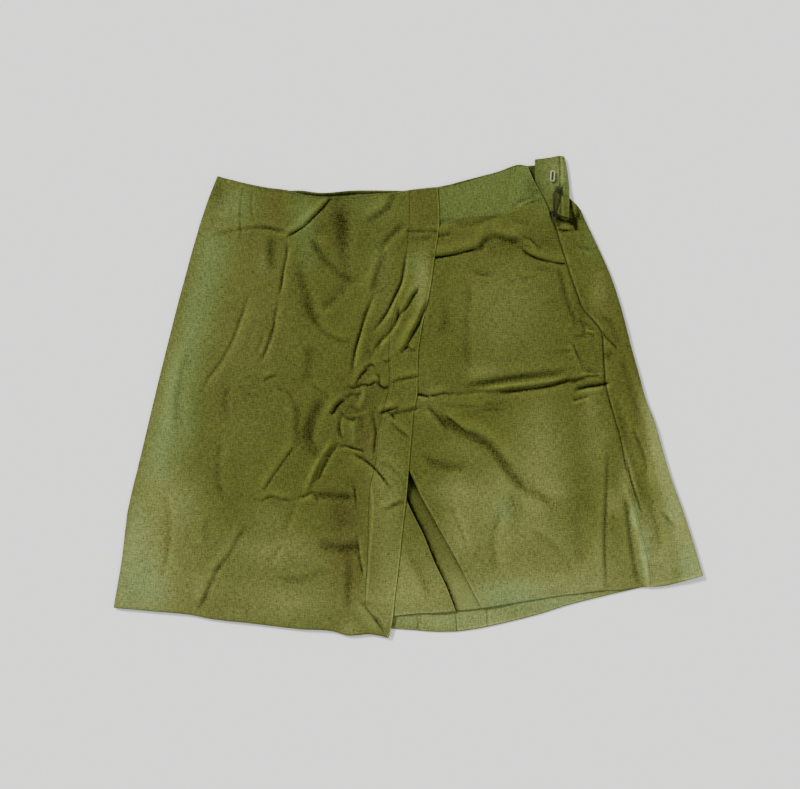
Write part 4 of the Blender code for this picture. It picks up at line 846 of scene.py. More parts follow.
def fold_lines(across, up, creases, lines):
    """Distance to the strongest line near each point, positive on its ridge's side, and its strength."""
    distance, strength, best = np.full_like(across, FAR), np.zeros_like(across), np.zeros_like(across)
    drawn = [(crease.path, np.clip(crease.depth / crease.sharp - 0.5, 0, 1.2), crease.ends, crease.side)
             for crease in creases] + [(run, dark, 3, 1) for run, dark in lines]
    for number, (path, dark, ends, side) in enumerate(drawn):
        near = near_path(path, LINE_REACH, across, up)
        if dark == 0 or not near.any():
            continue
        signed, share = distance_along(along([path], even(40)), across[near], up[near])
        uneven = 1 + 0.3 * np.sin(11 * share + 1.3 * number) * (ends != 3)
        value = dark * taper(share, ends, 1.4 * TAPER) * uneven
        weight = value * fade(signed, 3)
        stronger = weight > best[near]
        spots_near = np.flatnonzero(near)[stronger]
        best[spots_near] = weight[stronger]
        distance[spots_near] = side * signed[stronger]
        strength[spots_near] = (value * (1 - smooth((np.abs(signed) - 2) / 3)))[stronger]
    return distance, strength


def nearest_edge(across, up, edges):
    """Distance to the nearest of the edges, and how pale (or dark, below 0) that edge is."""
    distance, tone = np.full_like(across, FAR), np.zeros_like(across)
    for run, pale in edges:
        away = apart(run, across, up)
        closer = away < distance
        distance[closer], tone[closer] = away[closer], pale
    return distance, tone


hem_gap, _ = nearest_edge(np.array([-120.0]), np.array([-222.0]), [(WRAP_HEM, 1)])
print("a point beside the hem keeps", hem_gap[0].round(1), "mm")


# %% A piece of cloth with its wall, threads and point values
SHADED_DEPTH = 2.2          # a crease this deep lies wholly in shade
RESTING_BELOW = FIRST_MID - 0.5     # points lower than this belong to a layer that rests on the surface


def turned(plan, degrees):
    """The plane turned by an angle: the direction in which a panel's threads run."""
    angle = np.radians(degrees)
    return plan @ np.array([[np.cos(angle), -np.sin(angle)], [np.sin(angle), np.cos(angle)]])


def cloth(name, lattice, material, solid, grain=0.0, wall=CLOTH, kept=None, edges=(), creases=(),
          lines=(), low_lines=(), shade=0.0, greener=0.0):
    """A sheet through a lattice. `edges` are (run, how pale: a pale line of wear and painted highlight, or
    below 0 a painted shade line), `lines` (run, how dark: seam lines and painted shade lines).

    `low_lines` are the lines of the layer that rests on the surface. `greener` and `shade` (painted shade)
    are added
    to the tones: one number, or one for each point of the lattice.
    """
    rows, columns = lattice.shape[:2]
    points = lattice.reshape(-1, 3)
    mesh, used = mesh_from(name, points, grid_faces(rows, columns, kept))
    across, up = points[used, 0], points[used, 1]
    greener, shade = [(np.zeros((rows, columns)) + value).ravel()[used] for value in (greener, shade)]
    keep_weave(mesh, turned(points[used, :2], grain) * MM)
    pale, green, brown, painted_shade = tones(across, up)
    keep_values(mesh, "pale", pale)
    keep_values(mesh, "green", np.clip(green + greener, 0, 1))
    keep_values(mesh, "brown", brown)
    lowest = points[used, 2] < RESTING_BELOW
    depth = np.where(lowest, crease_relief(across, up, BACK_CREASES), crease_relief(across, up, creases))
    # Painted shade in the creases and painted highlight on their ridges, from their depth, plus the painted
    # shade patches and the shade given.
    keep_values(mesh, "shade", np.clip(-depth / SHADED_DEPTH, -1, 1) + painted_shade + shade)
    low_folds, folds = fold_lines(across, up, BACK_CREASES, low_lines), fold_lines(across, up, creases, lines)
    for kind, low, high in zip(("fold", "fold_strength"), low_folds, folds):
        keep_values(mesh, kind, np.where(lowest, low, high))
    for kind, found in zip(("edge", "edge_tone"), nearest_edge(across, up, edges)):
        keep_values(mesh, kind, found)
    mesh.materials.append(material)
    piece = put_in_scene(name, mesh)
    shell = piece.modifiers.new("wall", "SOLIDIFY")
    shell.thickness = wall * MM
    shell.offset = 0.0
    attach(piece, "garment")
    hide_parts(solid)
    print(f"{name}: {rows} x {columns} points, top at {lattice[..., 2].max():.1f} mm")
    return piece


def raised(plan, height):
    """Add heights to a lattice of points in the plane."""
    return np.dstack([plan, height])


def near_edge(plan, *edges, width=1.0):
    """1 on the named edges of a lattice, fading as exp(-(distance/width)^2)."""
    across, up = plan[..., 0], plan[..., 1]
    nearest = np.min([apart(edge, across, up) for edge in edges], axis=0)
    return fade(nearest, width)


# %% [markdown]
# ## The cotton
# The cloth is a plain weave with slubs: threads that swell for a few millimetres, mostly along the weft. A
# photograph of cloth shows three scales at once. The finest is the over and under of the threads, half a
# millimetre apart, which is bump. The next is streaks, where one thread is lighter than its neighbour. The
# broadest is dye that took unevenly. Streaks are noise stretched along the threads, read from the UV map.
# A little sheen on the surface stands for the loose fibres of matt cotton.


# %% Small helpers for node materials
def new_material(name, colour, roughness, metallic=0.0):
    """A node material with its main shader's plain values set."""
    material = bpy.data.materials.new(name)
    material.use_nodes = True
    shader = material.node_tree.nodes["Principled BSDF"]
    shader.inputs["Base Color"].default_value = (*colour, 1)
    shader.inputs["Roughness"].default_value = roughness
    shader.inputs["Metallic"].default_value = metallic
    material.diffuse_color = (*colour, 1)
    return material, material.node_tree, shader


def node(tree, kind, settings=(), **values):
    """Add a node with its own settings. Values are its inputs: i3 is input 3, and _ stands for a space."""
    made = tree.nodes.new(kind)
    for key, value in dict(settings).items():
        setattr(made, key, value)
    for key, value in values.items():
        numbered = key[0] == "i" and key[1:].isdigit()
        socket = made.inputs[int(key[1:]) if numbered else key.replace("_", " ")]
        if isinstance(value, bpy.types.NodeSocket):
            tree.links.new(value, socket)
        else:
            socket.default_value = value
    return made


print("node helpers take a plain number, or the output of another node")


# %% Sums, mixes and noise as nodes
def math(tree, operation, first, second=0.0, third=0.0):
    """One arithmetic step."""
    return node(tree, "ShaderNodeMath", {"operation": operation}, i0=first, i1=second, i2=third).outputs[0]


def times(tree, first, second):
    """Two numbers multiplied."""
    return math(tree, "MULTIPLY", first, second)


def plus(tree, total, *terms):
    """The total and, for each term, its value times its factor."""
    for value, factor in terms:
        total = math(tree, "MULTIPLY_ADD", value, factor, total)
    return total


def mix(tree, share, first, second, blend="MIX"):
    """Blend two colours by a share."""
    return node(tree, "ShaderNodeMix", {"data_type": "RGBA", "blend_type": blend}, i0=share, i6=first,
                i7=second).outputs[2]


def noise(tree, place, scale, detail, roughness=0.5):
    """Cloudy noise between 0 and 1."""
    return node(tree, "ShaderNodeTexNoise", Vector=place, Scale=scale, Detail=detail,
                Roughness=roughness).outputs[0]


def bumped(tree, shader, height, strength, distance):
    """Tilt the surface's shading by a height."""
    bump = node(tree, "ShaderNodeBump", Height=height, Strength=strength, Distance=distance)
    tree.links.new(bump.outputs[0], shader.inputs["Normal"])


def attribute(tree, name):
    """A number kept on the mesh's points."""
    return node(tree, "ShaderNodeAttribute", {"attribute_name": name}).outputs["Fac"]


def streaks(tree, threads, scale, detail=2.0, roughness=0.6):
    """Noise stretched by different scales along the two thread directions."""
    place = node(tree, "ShaderNodeMapping", Vector=threads, Scale=(*scale, 1.0)).outputs[0]
    return node(tree, "ShaderNodeTexNoise", {"noise_dimensions": "2D"}, Vector=place, Scale=1.0,
                Detail=detail, Roughness=roughness).outputs[0]


def bell(tree, value, width):
    """exp(-(value/width)^2)."""
    return math(tree, "EXPONENT", times(tree, times(tree, value, value), -1.0 / width**2))


print("a bell at one width is", round(float(np.exp(-1.0)), 2), "high")


# %% Yarns, painted fold lines and dye
THREADS = 1900.0            # threads to the metre
DEEP = (0.056, 0.064, 0.0095)
PALE = (0.138, 0.151, 0.046)
DEEP_GREEN = (0.072, 0.096, 0.023)
PALE_GREEN = (0.130, 0.166, 0.058)
BROWN = (0.059, 0.056, 0.011)
FOLD_WIDE, LIT_WIDE, EDGE_WIDE = 0.95, 1.1, 1.05    # widths of a fold's painted shade line, the painted highlight on its lit side and an edge's pale line
LIT_BESIDE = 2.2            # millimetres from the painted shade line to the painted highlight
DARKEST = 0.10


def yarns(tree, threads):
    """Weft, warp, slubs and grain: noise stretched by a scale along and a scale across the threads."""
    weft = streaks(tree, threads, (230.0, 900.0), 1.5)
    warp = streaks(tree, threads, (850.0, 180.0), 1.5)
    slubs = node(tree, "ShaderNodeMapRange", {"interpolation_type": "SMOOTHSTEP"},
                 Value=streaks(tree, threads, (48.0, 760.0), 1.0), From_Min=0.60, From_Max=0.74).outputs[0]
    grain = streaks(tree, threads, (900.0, 900.0), 2.0, 0.75)
    return weft, warp, slubs, grain


def painted_fold_and_edge_lines(tree, mottled):
    """A fold's painted shade line, the painted highlight on its lit side and an edge's line (pale: wear and
    painted highlight; dark: painted shade): bells of the distances kept on the points.
    """
    off_fold = attribute(tree, "fold")
    strength = times(tree, attribute(tree, "fold_strength"), plus(tree, 0.2, (mottled, 1.6)))
    fold = times(tree, bell(tree, off_fold, FOLD_WIDE), strength)
    lit = times(tree, bell(tree, math(tree, "SUBTRACT", off_fold, LIT_BESIDE), LIT_WIDE), strength)
    edge = times(tree, bell(tree, attribute(tree, "edge"), EDGE_WIDE), attribute(tree, "edge_tone"))
    return fold, lit, edge


def dyed(tree, patchy, lightness):
    """Five dyes, all times the lightness, mixed by the tones kept on the points."""
    deep, pale, deep_green, pale_green, brown = [
        (*(lightness * part for part in dye), 1) for dye in (DEEP, PALE, DEEP_GREEN, PALE_GREEN, BROWN)]
    olive = mix(tree, attribute(tree, "pale"), deep, pale)
    greenish = mix(tree, attribute(tree, "pale"), deep_green, pale_green)
    dye = mix(tree, attribute(tree, "green"), olive, greenish)
    return mix(tree, times(tree, attribute(tree, "brown"), math(tree, "ADD", patchy, 0.35)), dye, brown)


print("dyes from deep olive", DEEP, "to pale green", PALE_GREEN)


# %% The cotton material
def cotton(name, lightness=1.0, contrast=1.0):
    """Colour: dye times streaks, painted shade and painted highlights, with blue falling fastest. Bump:
    threads, slubs, crumple and folds.
    """
    material, tree, shader = new_material(name, [lightness * part for part in DEEP], 0.88)
    threads = node(tree, "ShaderNodeUVMap", {"uv_map": "weave"}).outputs[0]
    place = node(tree, "ShaderNodeTexCoord").outputs["Object"]
    weft, warp, slubs, grain = yarns(tree, threads)
    patchy, mottled = noise(tree, place, 26.0, 4.0, 0.6), noise(tree, place, 90.0, 3.0, 0.6)
    fold, lit, edge = painted_fold_and_edge_lines(tree, mottled)

    grainy, cloudy, spotty = [math(tree, "SUBTRACT", noisy, 0.5) for noisy in (grain, patchy, mottled)]
    # The tint carries painted shade (the shade values and the folds' dark lines) and painted highlights (the
    # folds' lit sides, and the pale edges, which are partly wear).
    tint = plus(tree, 1.0 - contrast, (math(tree, "ADD", weft, warp), contrast), (slubs, 0.20 * contrast),
                (grainy, 1.1 * contrast), (cloudy, 0.35), (spotty, 0.16), (attribute(tree, "shade"), -0.46),
                (fold, -0.42), (lit, 0.30), (edge, 0.42))
    tint = math(tree, "MAXIMUM", tint, DARKEST)
    blue = math(tree, "MINIMUM", tint, math(tree, "POWER", tint, 1.6))
    filtered = node(tree, "ShaderNodeCombineColor", i0=tint, i1=tint, i2=blue).outputs[0]
    colour = mix(tree, 1.0, dyed(tree, patchy, lightness), filtered, "MULTIPLY")
    tree.links.new(colour, shader.inputs["Base Color"])

    split = node(tree, "ShaderNodeSeparateXYZ", Vector=threads)
    waves = [math(tree, "SINE", times(tree, split.outputs[way], THREADS * np.pi)) for way in (0, 1)]
    over_under = math(tree, "ABSOLUTE", times(tree, *waves))
    crumple = noise(tree, place, 95.0, 3.0, 0.55)
    height = plus(tree, 0.0, (weft, 0.5), (over_under, 0.25), (warp, 0.4), (slubs, 0.5), (crumple, 1.3),
                  (fold, -1.8))
    bumped(tree, shader, height, 0.8, 0.00030)
    tree.links.new(plus(tree, 0.96, (weft, -0.14)), shader.inputs["Roughness"])
    # Sheen and gloss fade where the tint carries painted shade.
    unshaded = math(tree, "MINIMUM", times(tree, tint, 1.5), 1.0)
    tree.links.new(times(tree, unshaded, 0.04), shader.inputs["Sheen Weight"])
    tree.links.new(times(tree, unshaded, 0.12), shader.inputs["Specular IOR Level"])
    shader.inputs["Sheen Roughness"].default_value = 0.5
    shader.inputs["Sheen Tint"].default_value = (0.75, 0.8, 0.5, 1)
    return material


olive_cotton = cotton("olive_cotton")
band_cotton = cotton("band_cotton", lightness=1.02)
inside_cotton = cotton("inside_cotton", lightness=0.86, contrast=0.8)
print("cotton materials:", olive_cotton.name, band_cotton.name, inside_cotton.name)

# %% [markdown]
# ## The backs
# Both backs lie flat on the surface. The right one ends at the centre seam. The left one is wider than the
# front: it lies flat, turns up round the side in a half circle, and comes over the top as far as the side
# seam. One grid does all of that, because the turn is only a third stretch of columns between two others.

# %% Right back
TURN_ROWS = 230
UPPER_ROWS = 20
UPPER_SHARE = 0.085


def back_rows():
    """Shares of the height at which both backs have their rows, so that their common seam matches."""
    return np.concatenate([even(UPPER_ROWS)[:-1] * UPPER_SHARE,
                           UPPER_SHARE + even(TURN_ROWS) * (1 - UPPER_SHARE)])


BACK_CENTRE = [CENTRE_SEAM, INNER_LEG_RIGHT, INNER_HEM_STEP]
down, over = back_rows(), even(130)
inner = moved(along(BACK_CENTRE, down), across=-0.02)
side = moved(along([WRAP_SIDE], down), across=1.0)
side[0], side[-1] = BACK_WAIST_RIGHT[0], BACK_HEM_RIGHT[0]
plan = patch(along([BACK_WAIST_RIGHT], over), along([BACK_HEM_RIGHT], over), side, inner, over)
back_right = cloth("skort_back_right", raised(plan, back_height(plan[..., 0], plan[..., 1])), olive_cotton,
                   "back_right", grain=-3, edges=[(BACK_HEM_RIGHT, 1), (BACK_WAIST_RIGHT, -0.5)],
                   low_lines=[(spots((9.5, -219), (10.5, -233)), 0.8),
                              (spots((13, -219), (13.5, -233)), 0.6)])

# %% Left back, with its turn round the side
FLAT_COLUMNS, TURN_STEPS, RETURN_COLUMNS = 110, 10, 44
down = even(TURN_ROWS)
outline = along([OUTLINE_LEFT], down)
tangent = np.gradient(outline, axis=0)
outward = np.column_stack([-tangent[:, 1], tangent[:, 0]]) / np.linalg.norm(tangent, axis=1)[:, None]
radius = (return_height(outline[:, 0], outline[:, 1]) - BACK_MID) / 2
turn_centre = outline - outward * (radius + CLOTH / 2)[:, None]

flat_edge = np.concatenate([along([TURN_START], even(UPPER_ROWS)[:-1]), turn_centre])
inner = moved(along(BACK_CENTRE, back_rows()), across=0.02)
over = even(FLAT_COLUMNS)
hem = along([BACK_HEM_LEFT], over)
hem[-1] = flat_edge[-1]
flat_plan = patch(along([BACK_WAIST_LEFT], over), hem, inner, flat_edge, over)
flat = raised(flat_plan, back_height(flat_plan[..., 0], flat_plan[..., 1]))

angles = np.linspace(-np.pi / 2, np.pi / 2, TURN_STEPS + 1)[1:]
turn = np.dstack([turn_centre[:, None, 0] + outward[:, None, 0] * radius[:, None] * np.cos(angles),
                  turn_centre[:, None, 1] + outward[:, None, 1] * radius[:, None] * np.cos(angles),
                  BACK_MID + radius[:, None] * (1 + np.sin(angles))])
print("the side turns round a radius of", radius.min().round(2), "to", radius.max().round(2), "mm")

# %% Left back, the stretch that lies on top
# Above, the side seam is a dark groove. From the thigh down it is pressed into a pleat that catches light.
SEAM_ABOVE_PLEAT, PLEAT = SIDE_SEAM[:14], SIDE_SEAM[13:]
seam = moved(along([SIDE_SEAM], down), across=0.35)
over = 1 - edged(RETURN_COLUMNS - 2, 50, first=True, last=False)[::-1]
top_edge, hem_edge = along([RETURN_TOP], over), along([RETURN_HEM], over)
top_edge[0], top_edge[-1] = turn_centre[0], seam[0]
hem_edge[0], hem_edge[-1] = turn_centre[-1], seam[-1]
lying = patch(top_edge, hem_edge, turn_centre, seam, over)[:, 1:]
lying = raised(lying, return_height(lying[..., 0], lying[..., 1]))
lying[..., 2] -= seam_groove(lying[..., 0], lying[..., 1])

folded = np.concatenate([turn, lying], axis=1)
lattice = np.concatenate([flat, np.concatenate([np.zeros((UPPER_ROWS, folded.shape[1], 3)), folded])], axis=1)
kept = np.ones((UPPER_ROWS + TURN_ROWS, lattice.shape[1] - 1), bool)
kept[:UPPER_ROWS, FLAT_COLUMNS:] = False
hollow = sum(dark * near_edge(lattice, run, width=wide) for run, wide, dark in TAB_HOLLOWS)
back_left = cloth("skort_back_left", lattice, olive_cotton, "back_left", grain=4, kept=kept,
                  edges=[(BACK_HEM_LEFT, 1), (RETURN_HEM, 1), (BACK_WAIST_LEFT, -0.5), (OUTLINE_LEFT, 1.0)],
                  creases=FRONT_CREASES + RETURN_CREASES,
                  lines=[(SEAM_ABOVE_PLEAT, 0.9)], shade=hollow * (lattice[..., 2] > RESTING_BELOW),
                  low_lines=[(spots((79, -210), (80, -228)), 0.7),
                             (spots((108.5, -204), (109, -222)), 0.5)])

# %% [markdown]
# ## What shows between the layers
# Between the two legs shows a strip of the left back that comes round the inside leg, with painted shadow
# along its edges and at its top. In the waist opening shows the facing, whose wrong side is out, so its tone
# is duller, and painted shade darkens it further.

# %% Inside leg and waist facing
down, over = even(130), even(40)
plan = patch(along([GORE_TOP], over), along([GORE_HEM], over),
             along([GORE_RIGHT], down), along([GORE_LEFT], down), over)
across, up = plan[..., 0], plan[..., 1]
middle = across - (edge_at(INNER_LEG_RIGHT, up) + edge_at(INNER_LEG_LEFT, up)) / 2
dip = FIRST_MID + 0.35 * fade(middle, 9) + 0.2 * np.sin(up / 9.0) * fade(middle, 7)
shadow = 2.6 * near_edge(plan, INNER_LEG_RIGHT, width=3.2) + 0.9 * near_edge(plan, INNER_LEG_LEFT, width=3)
shadow += 1.6 * smooth((up + 100) / 26) - 0.6 * smooth((-150 - up) / 40)
inner_leg = cloth("skort_inner_leg", raised(plan, dip), inside_cotton, "back_left_inner_leg",
                  grain=24, shade=shadow)

over = even(220)
edge = along([BACK_WAIST_RIGHT[:-1] + BACK_WAIST_LEFT[1:-1]], over)
edge[0] += (7.0, -1.5)      # the strip starts a little inside the corner
drop = np.array([1.5, -FACING_DEPTH]) * even(18)[:, None]
plan = patch(moved(edge, up=-0.6), moved(edge, up=-FACING_DEPTH), moved(edge[0] + drop, up=-0.3),
             moved(edge[-1] + drop, up=-0.3), over)
ripple = 0.22 * np.sin(plan[..., 0] / 5.3) + 0.15 * np.sin(plan[..., 0] / 2.9 + 1)
# Painted shade over the facing, and a painted shade line just below the back's waist edge.
facing = cloth("skort_waist_facing", raised(plan, FIRST_MID + ripple), inside_cotton,
               "back_waist_facing", shade=0.9, edges=[(BACK_WAIST_RIGHT, 0.3), (BACK_WAIST_LEFT, 0.3)],
               lines=[(moved(along([BACK_WAIST_RIGHT], even(40)), up=-3.2), 1.0)])

# %% [markdown]
# ## The fronts
# The right front is almost all under the wrap, so only its inner edge and hem need detail. The left front
# is the big plain panel. Its rows close up at the open zip and run down the side seam.

# %% Right front
EDGE_DROP = 0.4             # how far a free edge of the fronts rests lower than the cloth beside it
down = even(210)
over = 1 - (1 - even(70))**1.5
side = moved(along([WRAP_SIDE], down), across=8.0)
side[0], side[-1] = FRONT_WAIST_RIGHT[0], FRONT_HEM_RIGHT[0]
inner = along([CENTRE_SEAM, INNER_LEG_RIGHT], down)
inner[0] = FRONT_WAIST_RIGHT[-1]
plan = patch(along([FRONT_WAIST_RIGHT], over), along([FRONT_HEM_RIGHT], over), side, inner, over)
height = front_height(plan[..., 0], plan[..., 1]) - EDGE_DROP * near_edge(plan, FRONT_HEM_RIGHT, width=5)
height -= EDGE_DROP * near_edge(plan, INNER_LEG_RIGHT, width=2.0)
front_right = cloth("skort_front_right", raised(plan, height), olive_cotton, "front_right",
                    grain=8, edges=[(INNER_LEG_RIGHT, 0.8), (FRONT_HEM_RIGHT, 1)], creases=FRONT_CREASES)

# %% Left front
zip_share = corner_shares([ZIP_EDGE, SIDE_SEAM])[0]
down = np.concatenate([even(34)[:-1] * zip_share, zip_share + even(236) * (1 - zip_share)])
over = edged(165, 220)
centre = along([CENTRE_SEAM, INNER_LEG_LEFT], down)
centre[0], centre[-1] = FRONT_WAIST_LEFT[0], FRONT_HEM_LEFT[0]
plan = patch(along([FRONT_WAIST_LEFT], over), along([FRONT_HEM_LEFT], over), centre,
             along([ZIP_EDGE, SIDE_SEAM], down), over)
across, up = plan[..., 0], plan[..., 1]
height = front_height(across, up) - seam_groove(across, up)
height -= EDGE_DROP * (near_edge(plan, INNER_LEG_LEFT, width=2.0) + near_edge(plan, FRONT_HEM_LEFT, width=5))

# The end of the zip, sewn down inside, presses a raised rectangle through the cloth.
ZIP_TAIL = spots((166, 56), (184, 59.5), (192.5, 26), (176.5, 25.5), (166, 56))
ZIP_TAIL_MIDDLE, TAIL_REACH = Spot(179.7, 42), 26
TAIL_LIFT, TAIL_GROOVE = 0.7, 0.5
tail_distance, _ = distance_along(ZIP_TAIL, across, up)
near_tail = np.hypot(across - ZIP_TAIL_MIDDLE.across, up - ZIP_TAIL_MIDDLE.up) < TAIL_REACH
height += TAIL_LIFT * smooth(0.5 - tail_distance / 2.4) * near_tail
height -= TAIL_GROOVE * fade(tail_distance, 1.0)
# A painted shade line along the left front's edge where it meets the top of the gap between the legs.
SHADOW_BESIDE_INNER_LEG = spots((-8, -64), (0.7, -74), (12, -98), (27, -125))
over_facing = up - heights_along(FACING_SEAM, across)
front_left = cloth("skort_front_left", raised(plan, height), olive_cotton, "front_left", grain=1,
                   edges=[(INNER_LEG_LEFT, 0.8), (FRONT_HEM_LEFT, 1), (FRONT_WAIST_LEFT, -1), (ZIP_EDGE, 0.5),
                          (PLEAT, 0.7)],
                   creases=FRONT_CREASES,
                   lines=[(SEAM_ABOVE_PLEAT, 1.0), (ZIP_TAIL, 0.35), (SHADOW_BESIDE_INNER_LEG, 0.9)],
                   greener=0.8 * smooth(over_facing / 2.5 + 0.5))

# %% [markdown]
# ## The wrap and its band
# The wrap rolls down to the back at the side, which gives the soft left edge. Its free edge is a band of
# doubled cloth, stitched on and mitred at the corner, so it stands a little higher and its threads run
# along it.

# %% Wrap panel
BAND_ROWS = 262
WRAP_WIDE = 285.0
mitre_share = corner_shares([BAND_SEAM, BAND_MITRE])[0]
down = np.concatenate([even(BAND_ROWS)[:-1] * mitre_share, mitre_share + even(14) * (1 - mitre_share)])
share = even(160)
spread = share - 0.12 * np.sin(np.pi * share)**2
*rolling, rest = np.array([0.0, 0.3, 1.0, 2.0, 3.6, 6.0]) / WRAP_WIDE   # closer columns where it rolls down
over = np.concatenate([rolling, rest + spread * (1 - rest)])
plan = patch(along([WRAP_WAIST], over), along([WRAP_HEM], over), along([WRAP_SIDE], down),
             along([BAND_SEAM, BAND_MITRE], down), over)
height = wrap_height(plan[..., 0], plan[..., 1]) - 0.35 * near_edge(plan, WRAP_HEM, WRAP_WAIST, width=1.6)
# A pale line is drawn on the band beside its seam, and a painted highlight on the wrap along the corner's
# fold.
PALE_LINE_BY_BAND_SEAM = spots((-38, -83), (-35.5, -100), (-35, -113), (-39.5, -178), (-42, -202))
MITRE_FOLD = spots((-36, -214), (-28, -224), (-20, -235))
wrap = cloth("skort_wrap_panel", raised(plan, height), olive_cotton, "wrap_panel", grain=-4,
             edges=[(WRAP_HEM, 1), (WRAP_WAIST, -1), (WRAP_SIDE, -0.4), (MITRE_FOLD, 1.9)],
             creases=WRAP_CREASES)

# %% Edge band
BAND_SHOWN = 0.75           # the band's wall
BAND_ABOVE = 0.06           # how much higher its middle lies than the wrap's
down, over = even(BAND_ROWS), edged(22, 28)
plan = patch(along([BAND_WAIST], over), moved(along([BAND_MITRE], over), across=0.05),
             moved(along([BAND_SEAM], down), across=0.05), along([BAND_FREE], down), over)
across, up = plan[..., 0], plan[..., 1]
height = wrap_height(across, up) + BAND_ABOVE - 0.12 * near_edge(plan, BAND_MITRE, width=1.0)
height -= 0.42 * near_edge(plan, BAND_FREE, width=2.8)
band = cloth("skort_wrap_band", raised(plan, height), band_cotton, "wrap_band", grain=-6,
             wall=BAND_SHOWN, creases=WRAP_CREASES, lines=[(spots((2, 171), (30, 172.7)), 0.35)],
             edges=[(BAND_FREE, 1.9), (BAND_WAIST, -1), (BAND_MITRE, 0.8), (PALE_LINE_BY_BAND_SEAM, 1.5)])

# %% [markdown]
# ## The waist tab
# Beside the open zip the end of the back waistband is turned over. It carries the hook's bar and the free
# half of the zip. Its outer edge rolls down to the layers below.

# %% Waist tab and zip tape
down = even(90)
over = edged(44, 33)
plan = patch(along([TAB_TOP], over), along([TAB_BOTTOM], over),
             along([TAB_INNER], down), along([TAB_OUTER], down), over)
across, up = plan[..., 0], plan[..., 1]
roll = 1 - np.sqrt(1 - np.clip(1 - (edge_at(TAB_OUTER, up) - across) / 5, 0, 1)**2)
height = TAB_MID - smooth((up - 200) / 14) * roll * (TAB_MID - FIRST_MID - 0.3)
TAB_SEAM = spots((151.6, 241), (152.2, 215), (152.6, 181))
BESIDE_TAPE = spots((148.6, 186), (151.6, 196), (153.4, 206), (152.6, 212))
seam_distance, _ = distance_along(TAB_SEAM, across, up)
height += 0.2 * smooth(seam_distance / 2 + 0.5) - 0.45 * fade(seam_distance, 0.8) - 0.1
height += 0.18 * np.sin(across / 6.0 + up / 9.0) - 0.3 * near_edge(plan, TAB_BOTTOM, TAB_TOP, width=1.2)
tab = cloth("skort_waist_tab", raised(plan, height), olive_cotton, "waist_tab", grain=-3, wall=0.9,
            edges=[(TAB_TOP, -0.6), (TAB_BOTTOM, 1), (TAB_OUTER, 1)],
            lines=[(TAB_SEAM, 1.1), (BESIDE_TAPE, 0.9)])

TAPE_PATH = spots((146.4, 187.2), (150.4, 210.5))
TAPE_MID = 5.4
TAPE_HALF_WIDE, TAPE_FLARE = 1.7, 1.2
down, over = even(60), even(12)
half_wide = (TAPE_HALF_WIDE + TAPE_FLARE * down)[:, None] * np.array([1.0, 0.0])
plan = (along([TAPE_PATH], down)[:, None] + half_wide[:, None] * (2 * over[None, :, None] - 1))[::-1]
lift = TAPE_MID - 0.15 + 0.12 * np.cos(np.pi * 2 * over)[None, :] * np.ones(len(down))[:, None]
tape_cotton = cotton("tape_cotton", lightness=0.46, contrast=0.6)
cloth("skort_zip_tape", raised(plan, lift), tape_cotton, "zip_tape", wall=0.6)

# %% [markdown]
# ## Metal
# The hook's bar is bright nickel-plated wire, the zip's stop and slider are dark, and the pull is enamelled
# in the colour of the cloth. Their solids already have the right shapes, so they only get materials: a base
# finish with faint scratches, cloudy tarnish and a roughness that varies.


# %% Metal materials on the carried-over solids
def metal(name, colour, worn_colour, roughness, metallic, scale):
    """A metal or enamel whose colour and roughness drift between two values with cloudy noise."""
    material, tree, shader = new_material(name, colour, roughness, metallic)
    place = node(tree, "ShaderNodeTexCoord").outputs["Object"]
    clouds = noise(tree, place, scale, 5.0, 0.65)
    scratched = node(tree, "ShaderNodeMapping", Vector=place, Scale=(9000.0, 500.0, 500.0)).outputs[0]
    tree.links.new(mix(tree, clouds, (*colour, 1), (*worn_colour, 1)), shader.inputs["Base Color"])
    tree.links.new(plus(tree, roughness - 0.12, (clouds, 0.25)), shader.inputs["Roughness"])
    shader.inputs["Specular IOR Level"].default_value = 0.08
    bumped(tree, shader, noise(tree, scratched, 1.0, 2.0), 0.25, 0.00008)
    return material


FINISHES = {
    "hook_bar": metal("nickel_wire", (0.34, 0.34, 0.22), (0.16, 0.16, 0.09), 0.55, 0.2, 700.0),
    "zip_stop": metal("dark_stop", (0.010, 0.007, 0.006), (0.032, 0.020, 0.018), 0.5, 0.1, 900.0),
    "zip_slider": metal("dark_slider", (0.005, 0.004, 0.003), (0.022, 0.014, 0.013), 0.45, 0.1, 800.0),
    "zip_pull": metal("olive_enamel", (0.018, 0.019, 0.006), (0.034, 0.034, 0.011), 0.7, 0.0, 600.0),
}
for solid, finish in FINISHES.items():
    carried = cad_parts[solid]
    carried.data.materials.clear()
    carried.data.materials.append(finish)
print("metal pieces:", ", ".join(FINISHES))

# %% [markdown]
# ## Zip teeth and stitching
# Both are one small shape repeated along a line. The shape is worked out once, as rings round a short axis
# that shrink to a point at each end. Whole arrays then turn it into the line's direction and put it at
# every station, so a seam of two hundred stitches is a single mesh.


# %% A row of small rounded shapes along a line
def stations(line, pitch, glance=0.3):
    """Evenly spaced points on a polyline, and the direction there, from a glance ahead and one behind."""
    points = np.array(line, float)
    lengths = np.concatenate([[0.0], np.cumsum(run_steps(line))])
    at = np.arange(pitch / 2, lengths[-1], pitch)
    placed, ahead, behind = [np.column_stack([np.interp(at + step, lengths, column) for column in points.T])
                             for step in (0.0, glance, -glance)]
    way = ahead - behind
    return placed, way / np.linalg.norm(way, axis=1)[:, None]


RING = 6
SECTIONS = np.array([-0.86, -0.4, 0.4, 0.86])


